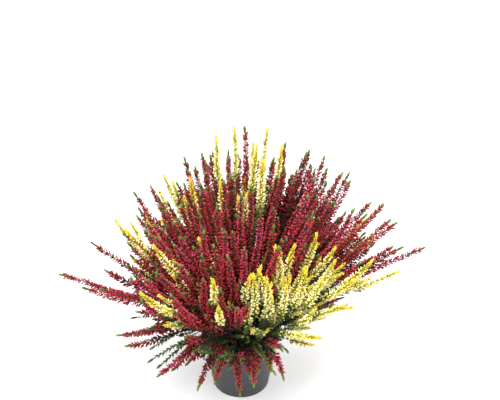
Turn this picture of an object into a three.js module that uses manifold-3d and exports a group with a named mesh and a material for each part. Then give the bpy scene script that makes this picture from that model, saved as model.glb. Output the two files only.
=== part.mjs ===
// A potted heather: a round plastic nursery pot, its block of peat, and crimson and cream heather
// plants grown together in it. Every shoot leaves the peat near the middle of the pot, leans out
// and ends in a spike of closed flower buds with a leafy tip, or stays a plain leafy shoot.
// Shoots of one colour that rise from one woody stem are fused in one spray.
// Millimetres, +Z up, origin at the middle of the pot's foot. -Y is the side seen first.
import * as THREE from 'three';
import { mergeVertices } from 'three/addons/utils/BufferGeometryUtils.js';
import Module from 'manifold-3d';

// ---- The pot ----
const POT_HEIGHT = 90;
const RIM_RADIUS = 55;
const RIM_BAND_HEIGHT = 11;
const RIM_STEP = 1.6; // how far the rim band stands out from the wall below it
const FOOT_RADIUS = 40;
const WALL = 1.4;
const FLOOR_TOP = 4;
const FLOOR_LIFT = 2; // the floor is lifted off the ground between the foot ring and the hub
const FOOT_RING = 5; // width of the ring that the pot stands on
const HUB_RADIUS = 11; // the pot also stands on a flat hub in the middle
const FOOT_SLOPE = 1; // how far the sides of hub and ring slope
const POT_SIDES = 24;
const DRAIN_HOLES = 6;
const DRAIN_RADIUS = 4.5;
const DRAIN_SIDES = 6;
const DRAIN_CIRCLE = 23;

// ---- The peat ----
const PEAT_TOP = 80;
const PEAT_CROWN = 1; // how much higher it is in the middle
const PEAT_SHOULDER = 4; // how much lower it is at the wall
const PEAT_FLAT = 0.86; // share of its radius that isn't shoulder
const PEAT_GAP = 0.4; // between the peat and the pot
const PEAT_SIDES = 16;
const PEAT_LUMP = 0.9;
const HOLE_DEPTH = 19;
const HOLE_GAP = 0.5; // round and under a stem in its hole

// ---- What grows where ----
const SEED = 20417;
const SHOOTS = 153;
const GOLDEN_ANGLE = 137.508;
const SOIL_REACH = 43; // radius of the disc that the shoots rise from
const RIM_SHARE = 0.85; // shoots past this share of them are short and hang over the rim
const LONG_LEAN = 76; // most that the long shoots lean away from upright, in degrees
const RIM_LEAN = [80, 100];
const FRONT_UPRIGHT = 0.22; // how much less the long shoots lean at the front
const BACK_UPRIGHT = 0.1;
const FRONT_RISE = 0.55; // share of their lean that shoots at the front take back as they rise
const RIGHT_RISE = 0.17; // the same at the right
const LONG_LENGTH = [224, 262];
const BACK_LONGER = 12;
const LEFT_SHORTER = 36;
const CREAM_SHORTER = 54;
const RIM_LENGTH = [100, 155];
const RIM_LEAFY_LENGTH = [80, 135];
const LEAFY_LENGTH = [80, 120];
const CREAM_CHANCE = { frontRight: 0.96, elsewhere: 0.13 };
const FAR_RIGHT = 0.89; // cosine of the azimuth within which no cream grows, but in front
const LEAFY_CHANCE = { rim: 0.6, inside: 0.12 };
const BARE_SHARE = { crimson: [0.28, 0.36], cream: [0.4, 0.52] }; // length below the first buds

// ---- How it grows ----
const BEND_LENGTH = 42; // a shoot has taken most of its lean after this length
const FORK_HEIGHT = 9; // where a spray's woody stem divides, above the peat
const FORK_DEPTH = 4; // how deep branches are rooted in it
const BLEND_LENGTH = 26; // a branch has reached its own line after this length
const WOODY_RADIUS = 2.3;
const LEAFY_RADIUS = 3.2;
const BUD_RADIUS = { crimson: 7.2, cream: 6.9 };
const POINT_RADIUS = 0.5;
const FIRST_RING = 12; // lengths from ring to ring, first at the foot of a branch
const LEAFY_STEP = 24;
const WHORL = 23.5; // from one whorl of buds or leaves to the next
const WHORL_RISE = 0.72; // the share of a whorl along which it spreads
const NECK_SHARE = 0.42; // width between whorls, as a share of the radius
const BUD_SPREAD = [0.9, 1.3]; // how far buds stand out, as shares of the radius
const TWIST = 60; // from whorl to whorl, so that buds stand over gaps
const TIP_LENGTH = 16; // leafy tip above the buds
const LAST_NECK = 10; // least length of the point above the last neck
const LAST_WHORL = 8;

// ---- How it is kept clear ----
const STRIDE = 6; // between the points of a shoot's line
const CLEARANCE = 2.5; // kept between the outlines of two shoots
const CLEARING_ROUNDS = 120;
const CLEARING_PUSH = 0.35; // share of what is short that one round makes up on either side
const LONGEST_MOVE = 2;
const SMOOTHING = 0.12;
const FORK_POINTS = 6; // branches of one spray may touch within these first points
const FOOT_SPACING = 9.8; // between the woody stems of two sprays
const SPRAY_MOST = 5; // shoots in one spray
const SPRAY_REACH = 13; // how far apart they may rise

// Shoots placed by hand, which stand out of the outline, hang over the rim or stay low in front:
// azimuth from +X, lean from upright and turn up at the end, in degrees, and length.
const STRAY_UPTURN = 6; // where none is given
const STRAYS = [
  { kind: 'crimson', azimuth: 183, lean: 76, length: 246 },
  { kind: 'crimson', azimuth: 176, lean: 64, length: 226 },
  { kind: 'crimson', azimuth: 168, lean: 54, length: 206 },
  { kind: 'crimson', azimuth: 4, lean: 69, length: 264 },
  { kind: 'crimson', azimuth: 16, lean: 63, length: 250 },
  { kind: 'crimson', azimuth: 27, lean: 56, length: 248 },
  { kind: 'cream', azimuth: 350, lean: 66, length: 232, upturn: 22 },
  { kind: 'cream', azimuth: 342, lean: 60, length: 218, upturn: 28 },
  { kind: 'cream', azimuth: 69, lean: 23, length: 290 },
  { kind: 'cream', azimuth: 94, lean: 19, length: 288 },
  { kind: 'crimson', azimuth: 81, lean: 25, length: 286 },
  { kind: 'leafy', azimuth: 196, lean: 92, length: 150 },
  { kind: 'leafy', azimuth: 218, lean: 97, length: 140 },
  { kind: 'crimson', azimuth: 208, lean: 84, length: 168 },
  { kind: 'crimson', azimuth: 230, lean: 102, length: 142 },
  { kind: 'crimson', azimuth: 246, lean: 114, length: 124 },
  { kind: 'crimson', azimuth: 268, lean: 122, length: 120 },
  { kind: 'crimson', azimuth: 284, lean: 116, length: 112 },
  { kind: 'crimson', azimuth: 300, lean: 108, length: 120 },
  { kind: 'cream', azimuth: 318, lean: 86, length: 138, upturn: 36 },
  { kind: 'cream', azimuth: 333, lean: 76, length: 168, upturn: 40 },
  { kind: 'leafy', azimuth: 238, lean: 96, length: 104, upturn: 30 },
  { kind: 'leafy', azimuth: 257, lean: 116, length: 102 },
  { kind: 'leafy', azimuth: 292, lean: 112, length: 104 },
  { kind: 'leafy', azimuth: 264, lean: 62, length: 96, upturn: 45 },
  { kind: 'leafy', azimuth: 279, lean: 58, length: 104, upturn: 40 },
  { kind: 'leafy', azimuth: 294, lean: 66, length: 100, upturn: 50 },
  { kind: 'cream', azimuth: 306, lean: 62, length: 116, upturn: 45 },
];

const COLOURS = {
  pot: { color: 0x2c3338, roughness: 0.5 },
  peat: { color: 0x2a1d14, roughness: 1 },
  crimson: { color: 0xa3122f, roughness: 0.6 },
  cream: { color: 0xece08a, roughness: 0.6 },
  leafy: { color: 0x4c6b24, roughness: 0.7 },
};

const wasm = await Module();
wasm.setup();

const radians = THREE.MathUtils.degToRad;

// The same draws on every run: a multiplicative generator on the prime 2^31 - 1.
function drawsFrom(seed) {
  let state = seed;
  return (low, high) => {
    state = (state * 16807) % 2147483647;
    return low + ((high - low) * state) / 2147483647;
  };
}

// ---- Between three.js geometry and solids ----

function solidOf(geometry) {
  const bare = geometry.clone();
  bare.deleteAttribute('normal');
  bare.deleteAttribute('uv');
  const merged = mergeVertices(bare, 1e-4);
  return new wasm.Manifold(
    new wasm.Mesh({
      numProp: 3,
      vertProperties: merged.attributes.position.array,
      triVerts: new Uint32Array(merged.index.array),
    }),
  );
}

function meshOf(name, solid, look) {
  const { vertProperties, triVerts } = solid.getMesh();
  const geometry = new THREE.BufferGeometry();
  geometry.setAttribute('position', new THREE.BufferAttribute(vertProperties, 3));
  geometry.setIndex(new THREE.BufferAttribute(triVerts, 1));
  geometry.computeVertexNormals();
  const mesh = new THREE.Mesh(geometry, new THREE.MeshStandardMaterial(look));
  mesh.name = name;
  return mesh;
}

// A profile of [radius, height] points turned about +Z.
function turned(profile, sides) {
  const points = profile.map(([radius, height]) => new THREE.Vector2(radius, height));
  return new THREE.LatheGeometry(points, sides).rotateX(Math.PI / 2);
}

// ---- Pot and peat ----

// The pot wall's outer radius at a height, below the rim band.
function wallRadius(height) {
  return THREE.MathUtils.lerp(FOOT_RADIUS, RIM_RADIUS - RIM_STEP, height / POT_HEIGHT);
}

function makePot() {
  const bandFoot = POT_HEIGHT - RIM_BAND_HEIGHT;
  const profile = [
    [0, 0],
    [HUB_RADIUS, 0],
    [HUB_RADIUS + FOOT_SLOPE, FLOOR_LIFT],
    [FOOT_RADIUS - FOOT_RING - FOOT_SLOPE, FLOOR_LIFT],
    [FOOT_RADIUS - FOOT_RING, 0],
    [FOOT_RADIUS, 0],
    [wallRadius(bandFoot), bandFoot],
    [RIM_RADIUS, bandFoot],
    [RIM_RADIUS, POT_HEIGHT],
    [RIM_RADIUS - WALL - RIM_STEP, POT_HEIGHT],
    [wallRadius(bandFoot) - WALL, bandFoot],
    [wallRadius(FLOOR_TOP) - WALL, FLOOR_TOP],
    [0, FLOOR_TOP],
  ];
  let pot = solidOf(turned(profile, POT_SIDES));
  for (let i = 0; i < DRAIN_HOLES; i++) {
    const angle = (i / DRAIN_HOLES) * 2 * Math.PI;
    const drill = new THREE.CylinderGeometry(DRAIN_RADIUS, DRAIN_RADIUS, 3 * FLOOR_TOP, DRAIN_SIDES)
      .rotateX(Math.PI / 2)
      .translate(DRAIN_CIRCLE * Math.cos(angle), DRAIN_CIRCLE * Math.sin(angle), FLOOR_TOP);
    pot = pot.subtract(solidOf(drill));
  }
  return pot;
}

// The block of peat, with a plain three-sided hole for each woody stem.
function makePeat(sprays) {
  const bottom = FLOOR_TOP + PEAT_GAP;
  const edgeHeight = PEAT_TOP - PEAT_SHOULDER;
  const flatness = Math.cos(Math.PI / POT_SIDES); // the pot's flat sides reach further in
  const inside = (height) => (wallRadius(height) - WALL) * flatness - PEAT_GAP;
  const profile = [
    [0, bottom],
    [inside(bottom), bottom],
    [inside(edgeHeight), edgeHeight],
    [inside(edgeHeight) * PEAT_FLAT, PEAT_TOP],
    [0, PEAT_TOP + PEAT_CROWN],
  ];
  const block = turned(profile, PEAT_SIDES);
  const at = block.attributes.position;
  for (let i = 0; i < at.count; i++) {
    const isShoulder = at.getZ(i) > edgeHeight + 1 && Math.hypot(at.getX(i), at.getY(i)) > 1;
    if (!isShoulder) continue;
    const angle = Math.atan2(at.getY(i), at.getX(i));
    at.setZ(i, at.getZ(i) + PEAT_LUMP * (Math.sin(5 * angle) + Math.cos(3 * angle)));
  }
  let peat = solidOf(block);
  const radius = WOODY_RADIUS + 2 * HOLE_GAP; // corners of a triangle stand twice as far out as sides
  for (const { foot } of sprays) {
    const ends = [PEAT_TOP - HOLE_DEPTH, PEAT_TOP + PEAT_SHOULDER];
    const hole = ends.map((height) => foot.clone().setZ(height));
    peat = peat.subtract(tube(hole, [{ radius }, { radius }]));
  }
  return peat;
}

// ---- Shoots ----

// A three-sided tube through the points. Each ring has a radius and a turn in degrees, and its
// three corners stand out by shares of the radius.
function tube(points, rings) {
  const last = points.length - 1;
  const geometry = new THREE.CylinderGeometry(1, 1, 1, 3, last);
  const at = geometry.attributes.position;
  const across = points.map((point, i) => {
    const along = points[Math.min(i + 1, last)].clone().sub(points[Math.max(i - 1, 0)]).normalize();
    // Every ring is laid out from the same fixed direction, so that no ring turns by chance.
    const side = new THREE.Vector3(1, 3, 0).cross(along).normalize();
    return { side, other: along.clone().cross(side) };
  });
  const spot = new THREE.Vector3();
  for (let i = 0; i < at.count; i++) {
    const n = Math.round((0.5 + at.getY(i)) * last);
    const { radius, turn = 0, shares = [1, 1, 1] } = rings[n];
    const round = Math.atan2(at.getX(i), at.getZ(i));
    const share = shares[(Math.round((3 * round) / (2 * Math.PI)) + 3) % 3];
    const size = Math.hypot(at.getX(i), at.getZ(i)) * radius * share;
    const angle = round - radians(turn);
    spot.copy(points[n]);
    spot.addScaledVector(across[n].side, size * Math.cos(angle));
    spot.addScaledVector(across[n].other, size * Math.sin(angle));
    at.setXYZ(i, spot.x, spot.y, spot.z);
  }
  return solidOf(geometry);
}

// What grows at one place: its kind, length and lean, and where its flowers start. Equal areas of
// the peat fan out to equal areas of sky, so that the shoots hardly cross.
function plantShoot(index, draw) {
  const share = (index + 0.5) / SHOOTS;
  const azimuth = (index * GOLDEN_ANGLE + draw(-4, 4)) % 360;
  const back = Math.sin(radians(azimuth));
  const right = Math.cos(radians(azimuth));
  const onRim = share > RIM_SHARE;
  const frontRight = back < -0.08 && right > 0.02 && share > 0.24;
  let creamChance = right < FAR_RIGHT ? CREAM_CHANCE.elsewhere : 0;
  if (frontRight) creamChance = CREAM_CHANCE.frontRight;
  let kind = draw(0, 1) < creamChance ? 'cream' : 'crimson';
  const bare = draw(...BARE_SHARE[kind]);
  if (draw(0, 1) < (onRim ? LEAFY_CHANCE.rim : LEAFY_CHANCE.inside)) kind = 'leafy';

  let lean = 2 * Math.asin(Math.sqrt(share / RIM_SHARE) * Math.sin(radians(LONG_LEAN / 2)));
  lean *= 1 - FRONT_UPRIGHT * Math.max(0, -back) - BACK_UPRIGHT * Math.max(0, back);
  let length = draw(...LONG_LENGTH) + BACK_LONGER * back - LEFT_SHORTER * Math.max(0, -right);
  if (kind === 'cream' && frontRight) length -= CREAM_SHORTER;
  if (onRim) {
    lean = radians(THREE.MathUtils.mapLinear(share, RIM_SHARE, 1, ...RIM_LEAN));
    length = draw(...RIM_LENGTH);
  }
  if (kind === 'leafy') length = draw(...(onRim ? RIM_LEAFY_LENGTH : LEAFY_LENGTH));
  const riseAgain = Math.max(0, RIGHT_RISE * right - FRONT_RISE * back) * lean;
  return {
    kind,
    azimuth: radians(azimuth),
    lean: lean + radians(draw(-3, 3)),
    length,
    bare,
    rise: SOIL_REACH * Math.sqrt(share), // how far from the middle it rises
    sway: radians(draw(-7, 7)),
    upturn: radians(draw(5, 40)) * Math.min(1, lean) + riseAgain,
  };
}

// The angle between the ways that two shoots point.
function angleBetween(a, b) {
  const away = Math.cos(a.lean) * Math.cos(b.lean);
  const round = Math.sin(a.lean) * Math.sin(b.lean) * Math.cos(a.azimuth - b.azimuth);
  return Math.acos(Math.min(1, away + round));
}

// Each stray takes the place of the shoot that already points most nearly its way.
function placeStrays(shoots) {
  const free = new Set(shoots);
  for (const { kind, azimuth, lean, length, upturn = STRAY_UPTURN } of STRAYS) {
    const wanted = { azimuth: radians(azimuth), lean: radians(lean) };
    const off = (shoot) => angleBetween(shoot, wanted);
    const nearest = [...free].reduce((a, b) => (off(b) < off(a) ? b : a));
    free.delete(nearest);
    Object.assign(nearest, wanted, { kind, length, upturn: radians(upturn) });
  }
}

// The line of a shoot that stands alone: upright at the peat, then leaning out, with a turn up
// towards the light at its end. Its points are a STRIDE apart.
function aloneLine(shoot) {
  const fine = 4; // short moves in each stride
  const points = [];
  let out = shoot.rise;
  let up = 0;
  for (let n = 0; n * STRIDE < shoot.length + STRIDE; n++) {
    const azimuth = shoot.azimuth + shoot.sway * ((n * STRIDE) / shoot.length) ** 2;
    points.push(new THREE.Vector3(out * Math.cos(azimuth), out * Math.sin(azimuth), PEAT_TOP + up));
    for (let part = 0; part < fine; part++) {
      const run = (n + part / fine) * STRIDE;
      const leaned = shoot.lean * (1 - Math.exp(-((run / BEND_LENGTH) ** 2)));
      const lean = leaned - shoot.upturn * (run / shoot.length) ** 2;
      out += (STRIDE / fine) * Math.sin(lean);
      up += (STRIDE / fine) * Math.cos(lean);
    }
  }
  return points;
}

// Where the buds of a shoot begin, as a length along it. A leafy shoot has none.
const bloomStart = ({ kind, bare, length }) => (kind === 'leafy' ? Infinity : bare * length);

// How far a shoot's outline stands out at a length along it: a leafy stem, then buds that swell
// and shrink again, then a leafy tip.
function radiusAt(shoot, run) {
  const start = bloomStart(shoot);
  if (run === 0) return POINT_RADIUS;
  if (run < start || run > shoot.length - TIP_LENGTH) return Math.min(LEAFY_RADIUS, 1.2 + run / 22);
  const bloom = (run - start) / (shoot.length - start);
  return BUD_RADIUS[shoot.kind] * (0.72 + 0.28 * Math.sin(Math.PI * Math.min(1, 0.2 + bloom)));
}

// The rings of a shoot, each with its length along it. Whorls go by pairs of rings: a narrow neck
// and the wide ring of bud ends or leaf ends above it.
function ringsOf(shoot, draw) {
  const whorlsFrom = shoot.kind === 'leafy' ? LEAFY_STEP : bloomStart(shoot);
  const rings = [{ run: 0, radius: POINT_RADIUS }];
  let run = FIRST_RING;
  let turn = 0;
  while (run < shoot.length - LAST_NECK) {
    const neck = { run, turn, radius: radiusAt(shoot, run) };
    rings.push(neck);
    if (run >= whorlsFrom) {
      const ends = run + WHORL * WHORL_RISE;
      const shares = [0, 0, 0].map(() => draw(...BUD_SPREAD));
      neck.radius *= NECK_SHARE;
      if (ends < shoot.length - LAST_WHORL) {
        rings.push({ run: ends, turn, radius: radiusAt(shoot, ends), shares });
      }
    }
    run += run < whorlsFrom ? LEAFY_STEP : WHORL;
    turn += TWIST;
  }
  rings.push({ run: shoot.length, turn, radius: POINT_RADIUS });
  return rings;
}

// The place on a shoot's line at a length along it.
function pointAt(line, run) {
  const place = run / STRIDE;
  const n = Math.min(Math.floor(place), line.length - 2);
  return line[n].clone().lerp(line[n + 1], place - n);
}

function makeShoot(shoot, draw) {
  const rings = ringsOf(shoot, draw);
  return tube(rings.map(({ run }) => pointAt(shoot.line, run)), rings);
}

// ---- Sprays ----

// Neighbours of one colour share a woody stem. Its foot is amid the places where they would rise.
function groupInSprays(shoots) {
  const free = new Set(shoots);
  const place = (shoot) =>
    new THREE.Vector3(Math.cos(shoot.azimuth), Math.sin(shoot.azimuth), 0).multiplyScalar(shoot.rise);
  const sprays = [];
  for (const leader of shoots) {
    if (!free.has(leader)) continue;
    const gap = (shoot) => place(shoot).distanceTo(place(leader));
    const members = [...free]
      .filter((shoot) => shoot.kind === leader.kind && gap(shoot) < SPRAY_REACH)
      .sort((a, b) => gap(a) - gap(b))
      .slice(0, SPRAY_MOST);
    members.forEach((shoot) => free.delete(shoot));
    const foot = new THREE.Vector3(0, 0, PEAT_TOP);
    members.forEach((shoot) => foot.addScaledVector(place(shoot), 1 / members.length));
    sprays.push({ kind: leader.kind, members, foot });
  }
  return sprays;
}

// Moves the feet of sprays apart until there is peat between all of them.
function spreadFeet(sprays) {
  const middle = new THREE.Vector3(0, 0, PEAT_TOP);
  for (let round = 0; round < CLEARING_ROUNDS; round++) {
    sprays.forEach(({ foot }, n) => {
      for (const { foot: other } of sprays.slice(n + 1)) {
        const away = foot.clone().sub(other);
        const short = FOOT_SPACING - away.length();
        if (short <= 0) continue;
        away.setLength(short / 2);
        foot.add(away);
        other.sub(away);
      }
      foot.sub(middle).clampLength(0, SOIL_REACH).add(middle);
    });
  }
}

// Bends each branch from its spray's fork to its own line.
function joinToForks(sprays) {
  for (const spray of sprays) {
    spray.fork = spray.foot.clone().setZ(PEAT_TOP + FORK_HEIGHT);
    for (const shoot of spray.members) {
      shoot.spray = spray;
      shoot.line = aloneLine(shoot);
      const pull = spray.fork.clone().sub(shoot.line[0]).setZ(FORK_HEIGHT - FORK_DEPTH);
      shoot.line.forEach((point, i) => {
        const hold = 1 - THREE.MathUtils.smoothstep(i * STRIDE, 0, BLEND_LENGTH);
        point.addScaledVector(pull, hold);
      });
    }
  }
}

// Pushes points of different shoots that crowd each other apart, a little in each round. Woody
// stems stay, the first point of a branch stays on its fork, and branches of one spray may touch
// near it.
function clearTheWay(shoots, sprays) {
  const spots = shoots.flatMap((shoot) =>
    shoot.line.map((point, i) => {
      const radius = radiusAt(shoot, i * STRIDE);
      return { point, shoot, i, radius, move: new THREE.Vector3() };
    }),
  );
  for (const spray of sprays) {
    for (const point of [spray.fork, spray.foot.clone().lerp(spray.fork, 0.5)]) {
      spots.push({ point, shoot: { spray }, i: 0, radius: WOODY_RADIUS, move: new THREE.Vector3() });
    }
  }
  const reach = 2 * BUD_RADIUS.crimson + CLEARANCE;
  const push = new THREE.Vector3();
  for (let round = 0; round < CLEARING_ROUNDS; round++) {
    spots.sort((a, b) => a.point.x - b.point.x);
    spots.forEach((a, n) => {
      for (let m = n + 1; m < spots.length && spots[m].point.x - a.point.x < reach; m++) {
        const b = spots[m];
        push.subVectors(a.point, b.point);
        const gap = push.length();
        const short = a.radius + b.radius + CLEARANCE - gap;
        if (short <= 0 || a.shoot === b.shoot) continue;
        if (a.shoot.spray === b.shoot.spray && Math.min(a.i, b.i) < FORK_POINTS) continue;
        push.multiplyScalar((CLEARING_PUSH * short) / gap);
        a.move.add(push);
        b.move.sub(push);
      }
    });
    for (const { point, i, move } of spots) {
      if (i > 0) point.add(move.clampLength(0, LONGEST_MOVE));
      move.set(0, 0, 0);
    }
    shoots.forEach(({ line }) => smooth(line));
  }
}

// Draws each inner point of a line a little towards the middle of its neighbours.
function smooth(line) {
  const before = line.map((point) => point.clone());
  for (let i = 1; i < line.length - 1; i++) {
    const middle = before[i - 1].clone().add(before[i + 1]).multiplyScalar(0.5);
    line[i].lerp(middle, SMOOTHING);
  }
}

// A woody stem that stands in its hole, with the branches fused to it.
function makeSpray({ foot, members }, draw) {
  const ends = [PEAT_TOP - HOLE_DEPTH + HOLE_GAP, PEAT_TOP + FORK_HEIGHT + 2];
  const woody = ends.map((height) => foot.clone().setZ(height));
  const radius = WOODY_RADIUS;
  return members.reduce(
    (solid, shoot) => solid.add(makeShoot(shoot, draw)),
    tube(woody, [{ radius }, { radius }]),
  );
}

// ---- The plant ----

const draw = drawsFrom(SEED);
const shoots = Array.from({ length: SHOOTS }, (_, index) => plantShoot(index, draw));
placeStrays(shoots);
const sprays = groupInSprays(shoots);
spreadFeet(sprays);
joinToForks(sprays);
clearTheWay(shoots, sprays);

const heather = new THREE.Group();
heather.add(meshOf('pot', makePot(), COLOURS.pot));
heather.add(meshOf('peat', makePeat(sprays), COLOURS.peat));
const counts = { crimson: 0, cream: 0, leafy: 0 };
for (const spray of sprays) {
  counts[spray.kind] += 1;
  const name = `${spray.kind}_spray_${String(counts[spray.kind]).padStart(2, '0')}`;
  heather.add(meshOf(name, makeSpray(spray, draw), COLOURS[spray.kind]));
}

export default heather;
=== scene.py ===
"""A potted heather dressed over its CAD frame: moulded pot, crumbly peat and budded sprays.

Crimson and cream heather plants grow mixed in one round pot. Each spray is one woody foot with the
shoots that fork from it. A shoot has a bark stem, rows of scale leaves, a spike of closed buds and
a leafy tip. Lengths are millimetres until a mesh is finished, which then goes to metres.
"""

import logging
import math
from collections.abc import Iterator, Sequence
from dataclasses import dataclass, field, replace
from enum import Enum
from typing import Any

import bmesh
import bpy
import numpy as np
from mathutils import Matrix, Vector, noise

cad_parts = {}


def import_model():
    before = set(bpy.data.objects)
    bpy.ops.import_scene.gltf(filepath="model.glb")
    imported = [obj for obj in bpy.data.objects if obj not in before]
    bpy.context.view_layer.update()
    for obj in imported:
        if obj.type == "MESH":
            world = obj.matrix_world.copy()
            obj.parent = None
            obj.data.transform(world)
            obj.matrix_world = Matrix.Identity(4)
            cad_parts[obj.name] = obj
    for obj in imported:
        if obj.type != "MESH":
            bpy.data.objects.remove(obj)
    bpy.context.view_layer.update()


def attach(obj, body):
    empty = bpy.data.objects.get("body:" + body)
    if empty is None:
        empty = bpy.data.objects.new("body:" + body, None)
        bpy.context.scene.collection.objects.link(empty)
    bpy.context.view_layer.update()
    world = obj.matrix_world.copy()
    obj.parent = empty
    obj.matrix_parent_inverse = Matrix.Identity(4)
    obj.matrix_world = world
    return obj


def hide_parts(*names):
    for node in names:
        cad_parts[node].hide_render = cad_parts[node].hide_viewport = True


LOG = logging.getLogger("heather")
MM = 0.001
BODY = "root"
GOLDEN_TURN = math.radians(137.5)
TINY = 1e-4  # length within which two points of a shape are one


# ---- Where each shoot grows, by the same rule as the CAD model ----


class Kind(Enum):
    """What a shoot bears: buds of one colour, or leaves alone."""

    CRIMSON = "crimson"
    CREAM = "cream"
    LEAFY = "leafy"


class Draws:
    """Repeatable random draws from a multiplicative generator on the prime 2**31 - 1."""

    MULTIPLIER = 16807
    PRIME = 2147483647

    def __init__(self, seed: int) -> None:
        """Start the draws from a seed."""
        self.state = seed

    def between(self, low: float, high: float) -> float:
        """Draw the next number between low and high."""
        self.state = self.state * self.MULTIPLIER % self.PRIME
        return low + (high - low) * self.state / self.PRIME


@dataclass(frozen=True)
class Form:
    """How thick a shoot's outline is along its length."""

    stride: float = 6.0
    point_radius: float = 0.5
    woody_radius: float = 2.3
    leafy_radius: float = 3.2
    young_radius: float = 1.2
    thickening: float = 22.0  # length in which a leafy outline gains a millimetre
    crimson_radius: float = 7.2
    cream_radius: float = 6.9
    spike_waist: float = 0.72
    spike_swell: float = 0.28
    swell_lead: float = 0.2
    tip_length: float = 16.0

    def bud_radius(self, kind: Kind) -> float:
        """Give how far the buds of a kind stand out from their stem."""
        return self.crimson_radius if kind is Kind.CRIMSON else self.cream_radius


FORM = Form()


@dataclass(eq=False)
class Shoot:
    """One shoot: what it bears, which way it points and the line that it follows."""

    kind: Kind
    azimuth: float
    lean: float
    length: float
    bare: float
    rise: float
    sway: float
    upturn: float
    line: np.ndarray = field(default_factory=lambda: np.zeros((0, 3)))

    @property
    def bloom_start(self) -> float:
        """Give the length along the shoot at which its buds begin."""
        return math.inf if self.kind is Kind.LEAFY else self.bare * self.length

    @property
    def bloom_end(self) -> float:
        """Give the length along the shoot at which its leafy tip begins."""
        return self.length - FORM.tip_length

    @property
    def place(self) -> np.ndarray:
        """Give the spot on the peat where the shoot would rise if it stood alone."""
        return self.rise * np.array([math.cos(self.azimuth), math.sin(self.azimuth), 0.0])

    def gap_to(self, other: "Shoot") -> float:
        """Give how far apart two shoots would rise if they stood alone."""
        return float(np.linalg.norm(other.place - self.place))

    def radius_at(self, run: float) -> float:
        """Give how far the outline stands out at a length along the shoot.

        Args:
            run: Length along the shoot from its foot.

        Returns:
            The outline's radius there.
        """
        start = self.bloom_start
        if run == 0:
            return FORM.point_radius
        if run < start or run > self.bloom_end:
            return min(FORM.leafy_radius, FORM.young_radius + run / FORM.thickening)
        bloom = (run - start) / (self.length - start)
        wave = math.sin(math.pi * min(1.0, FORM.swell_lead + bloom))
        return FORM.bud_radius(self.kind) * (FORM.spike_waist + FORM.spike_swell * wave)

    def angle_to(self, azimuth: float, lean: float) -> float:
        """Give the angle between the way the shoot points and another way.

        Args:
            azimuth: The other way's azimuth, in radians.
            lean: The other way's lean from upright, in radians.

        Returns:
            The angle in radians.
        """
        away = math.cos(self.lean) * math.cos(lean)
        turned = math.sin(self.lean) * math.sin(lean) * math.cos(self.azimuth - azimuth)
        return math.acos(min(1.0, away + turned))


@dataclass(eq=False)
class Spray:
    """Shoots of one kind that fork from one woody foot."""

    kind: Kind
    members: list[Shoot]
    foot: np.ndarray
    name: str = ""
    fork: np.ndarray = field(default_factory=lambda: np.zeros(3))


@dataclass(frozen=True)
class Stray:
    """A shoot placed one by one: its kind, azimuth, lean (degrees), length and upturn (degrees)."""

    kind: Kind
    azimuth: float
    lean: float
    length: float
    upturn: float = 6


STRAYS = (
    Stray(Kind.CRIMSON, 183, 76, 246),
    Stray(Kind.CRIMSON, 176, 64, 226),
    Stray(Kind.CRIMSON, 168, 54, 206),
    Stray(Kind.CRIMSON, 4, 69, 264),
    Stray(Kind.CRIMSON, 16, 63, 250),
    Stray(Kind.CRIMSON, 27, 56, 248),
    Stray(Kind.CREAM, 350, 66, 232, 22),
    Stray(Kind.CREAM, 342, 60, 218, 28),
    Stray(Kind.CREAM, 69, 23, 290),
    Stray(Kind.CREAM, 94, 19, 288),
    Stray(Kind.CRIMSON, 81, 25, 286),
    Stray(Kind.LEAFY, 196, 92, 150),
    Stray(Kind.LEAFY, 218, 97, 140),
    Stray(Kind.CRIMSON, 208, 84, 168),
    Stray(Kind.CRIMSON, 230, 102, 142),
    Stray(Kind.CRIMSON, 246, 114, 124),
    Stray(Kind.CRIMSON, 268, 122, 120),
    Stray(Kind.CRIMSON, 284, 116, 112),
    Stray(Kind.CRIMSON, 300, 108, 120),
    Stray(Kind.CREAM, 318, 86, 138, 36),
    Stray(Kind.CREAM, 333, 76, 168, 40),
    Stray(Kind.LEAFY, 238, 96, 104, 30),
    Stray(Kind.LEAFY, 257, 116, 102),
    Stray(Kind.LEAFY, 292, 112, 104),
    Stray(Kind.LEAFY, 264, 62, 96, 45),
    Stray(Kind.LEAFY, 279, 58, 104, 40),
    Stray(Kind.LEAFY, 294, 66, 100, 50),
    Stray(Kind.CREAM, 306, 62, 116, 45),
)


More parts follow.
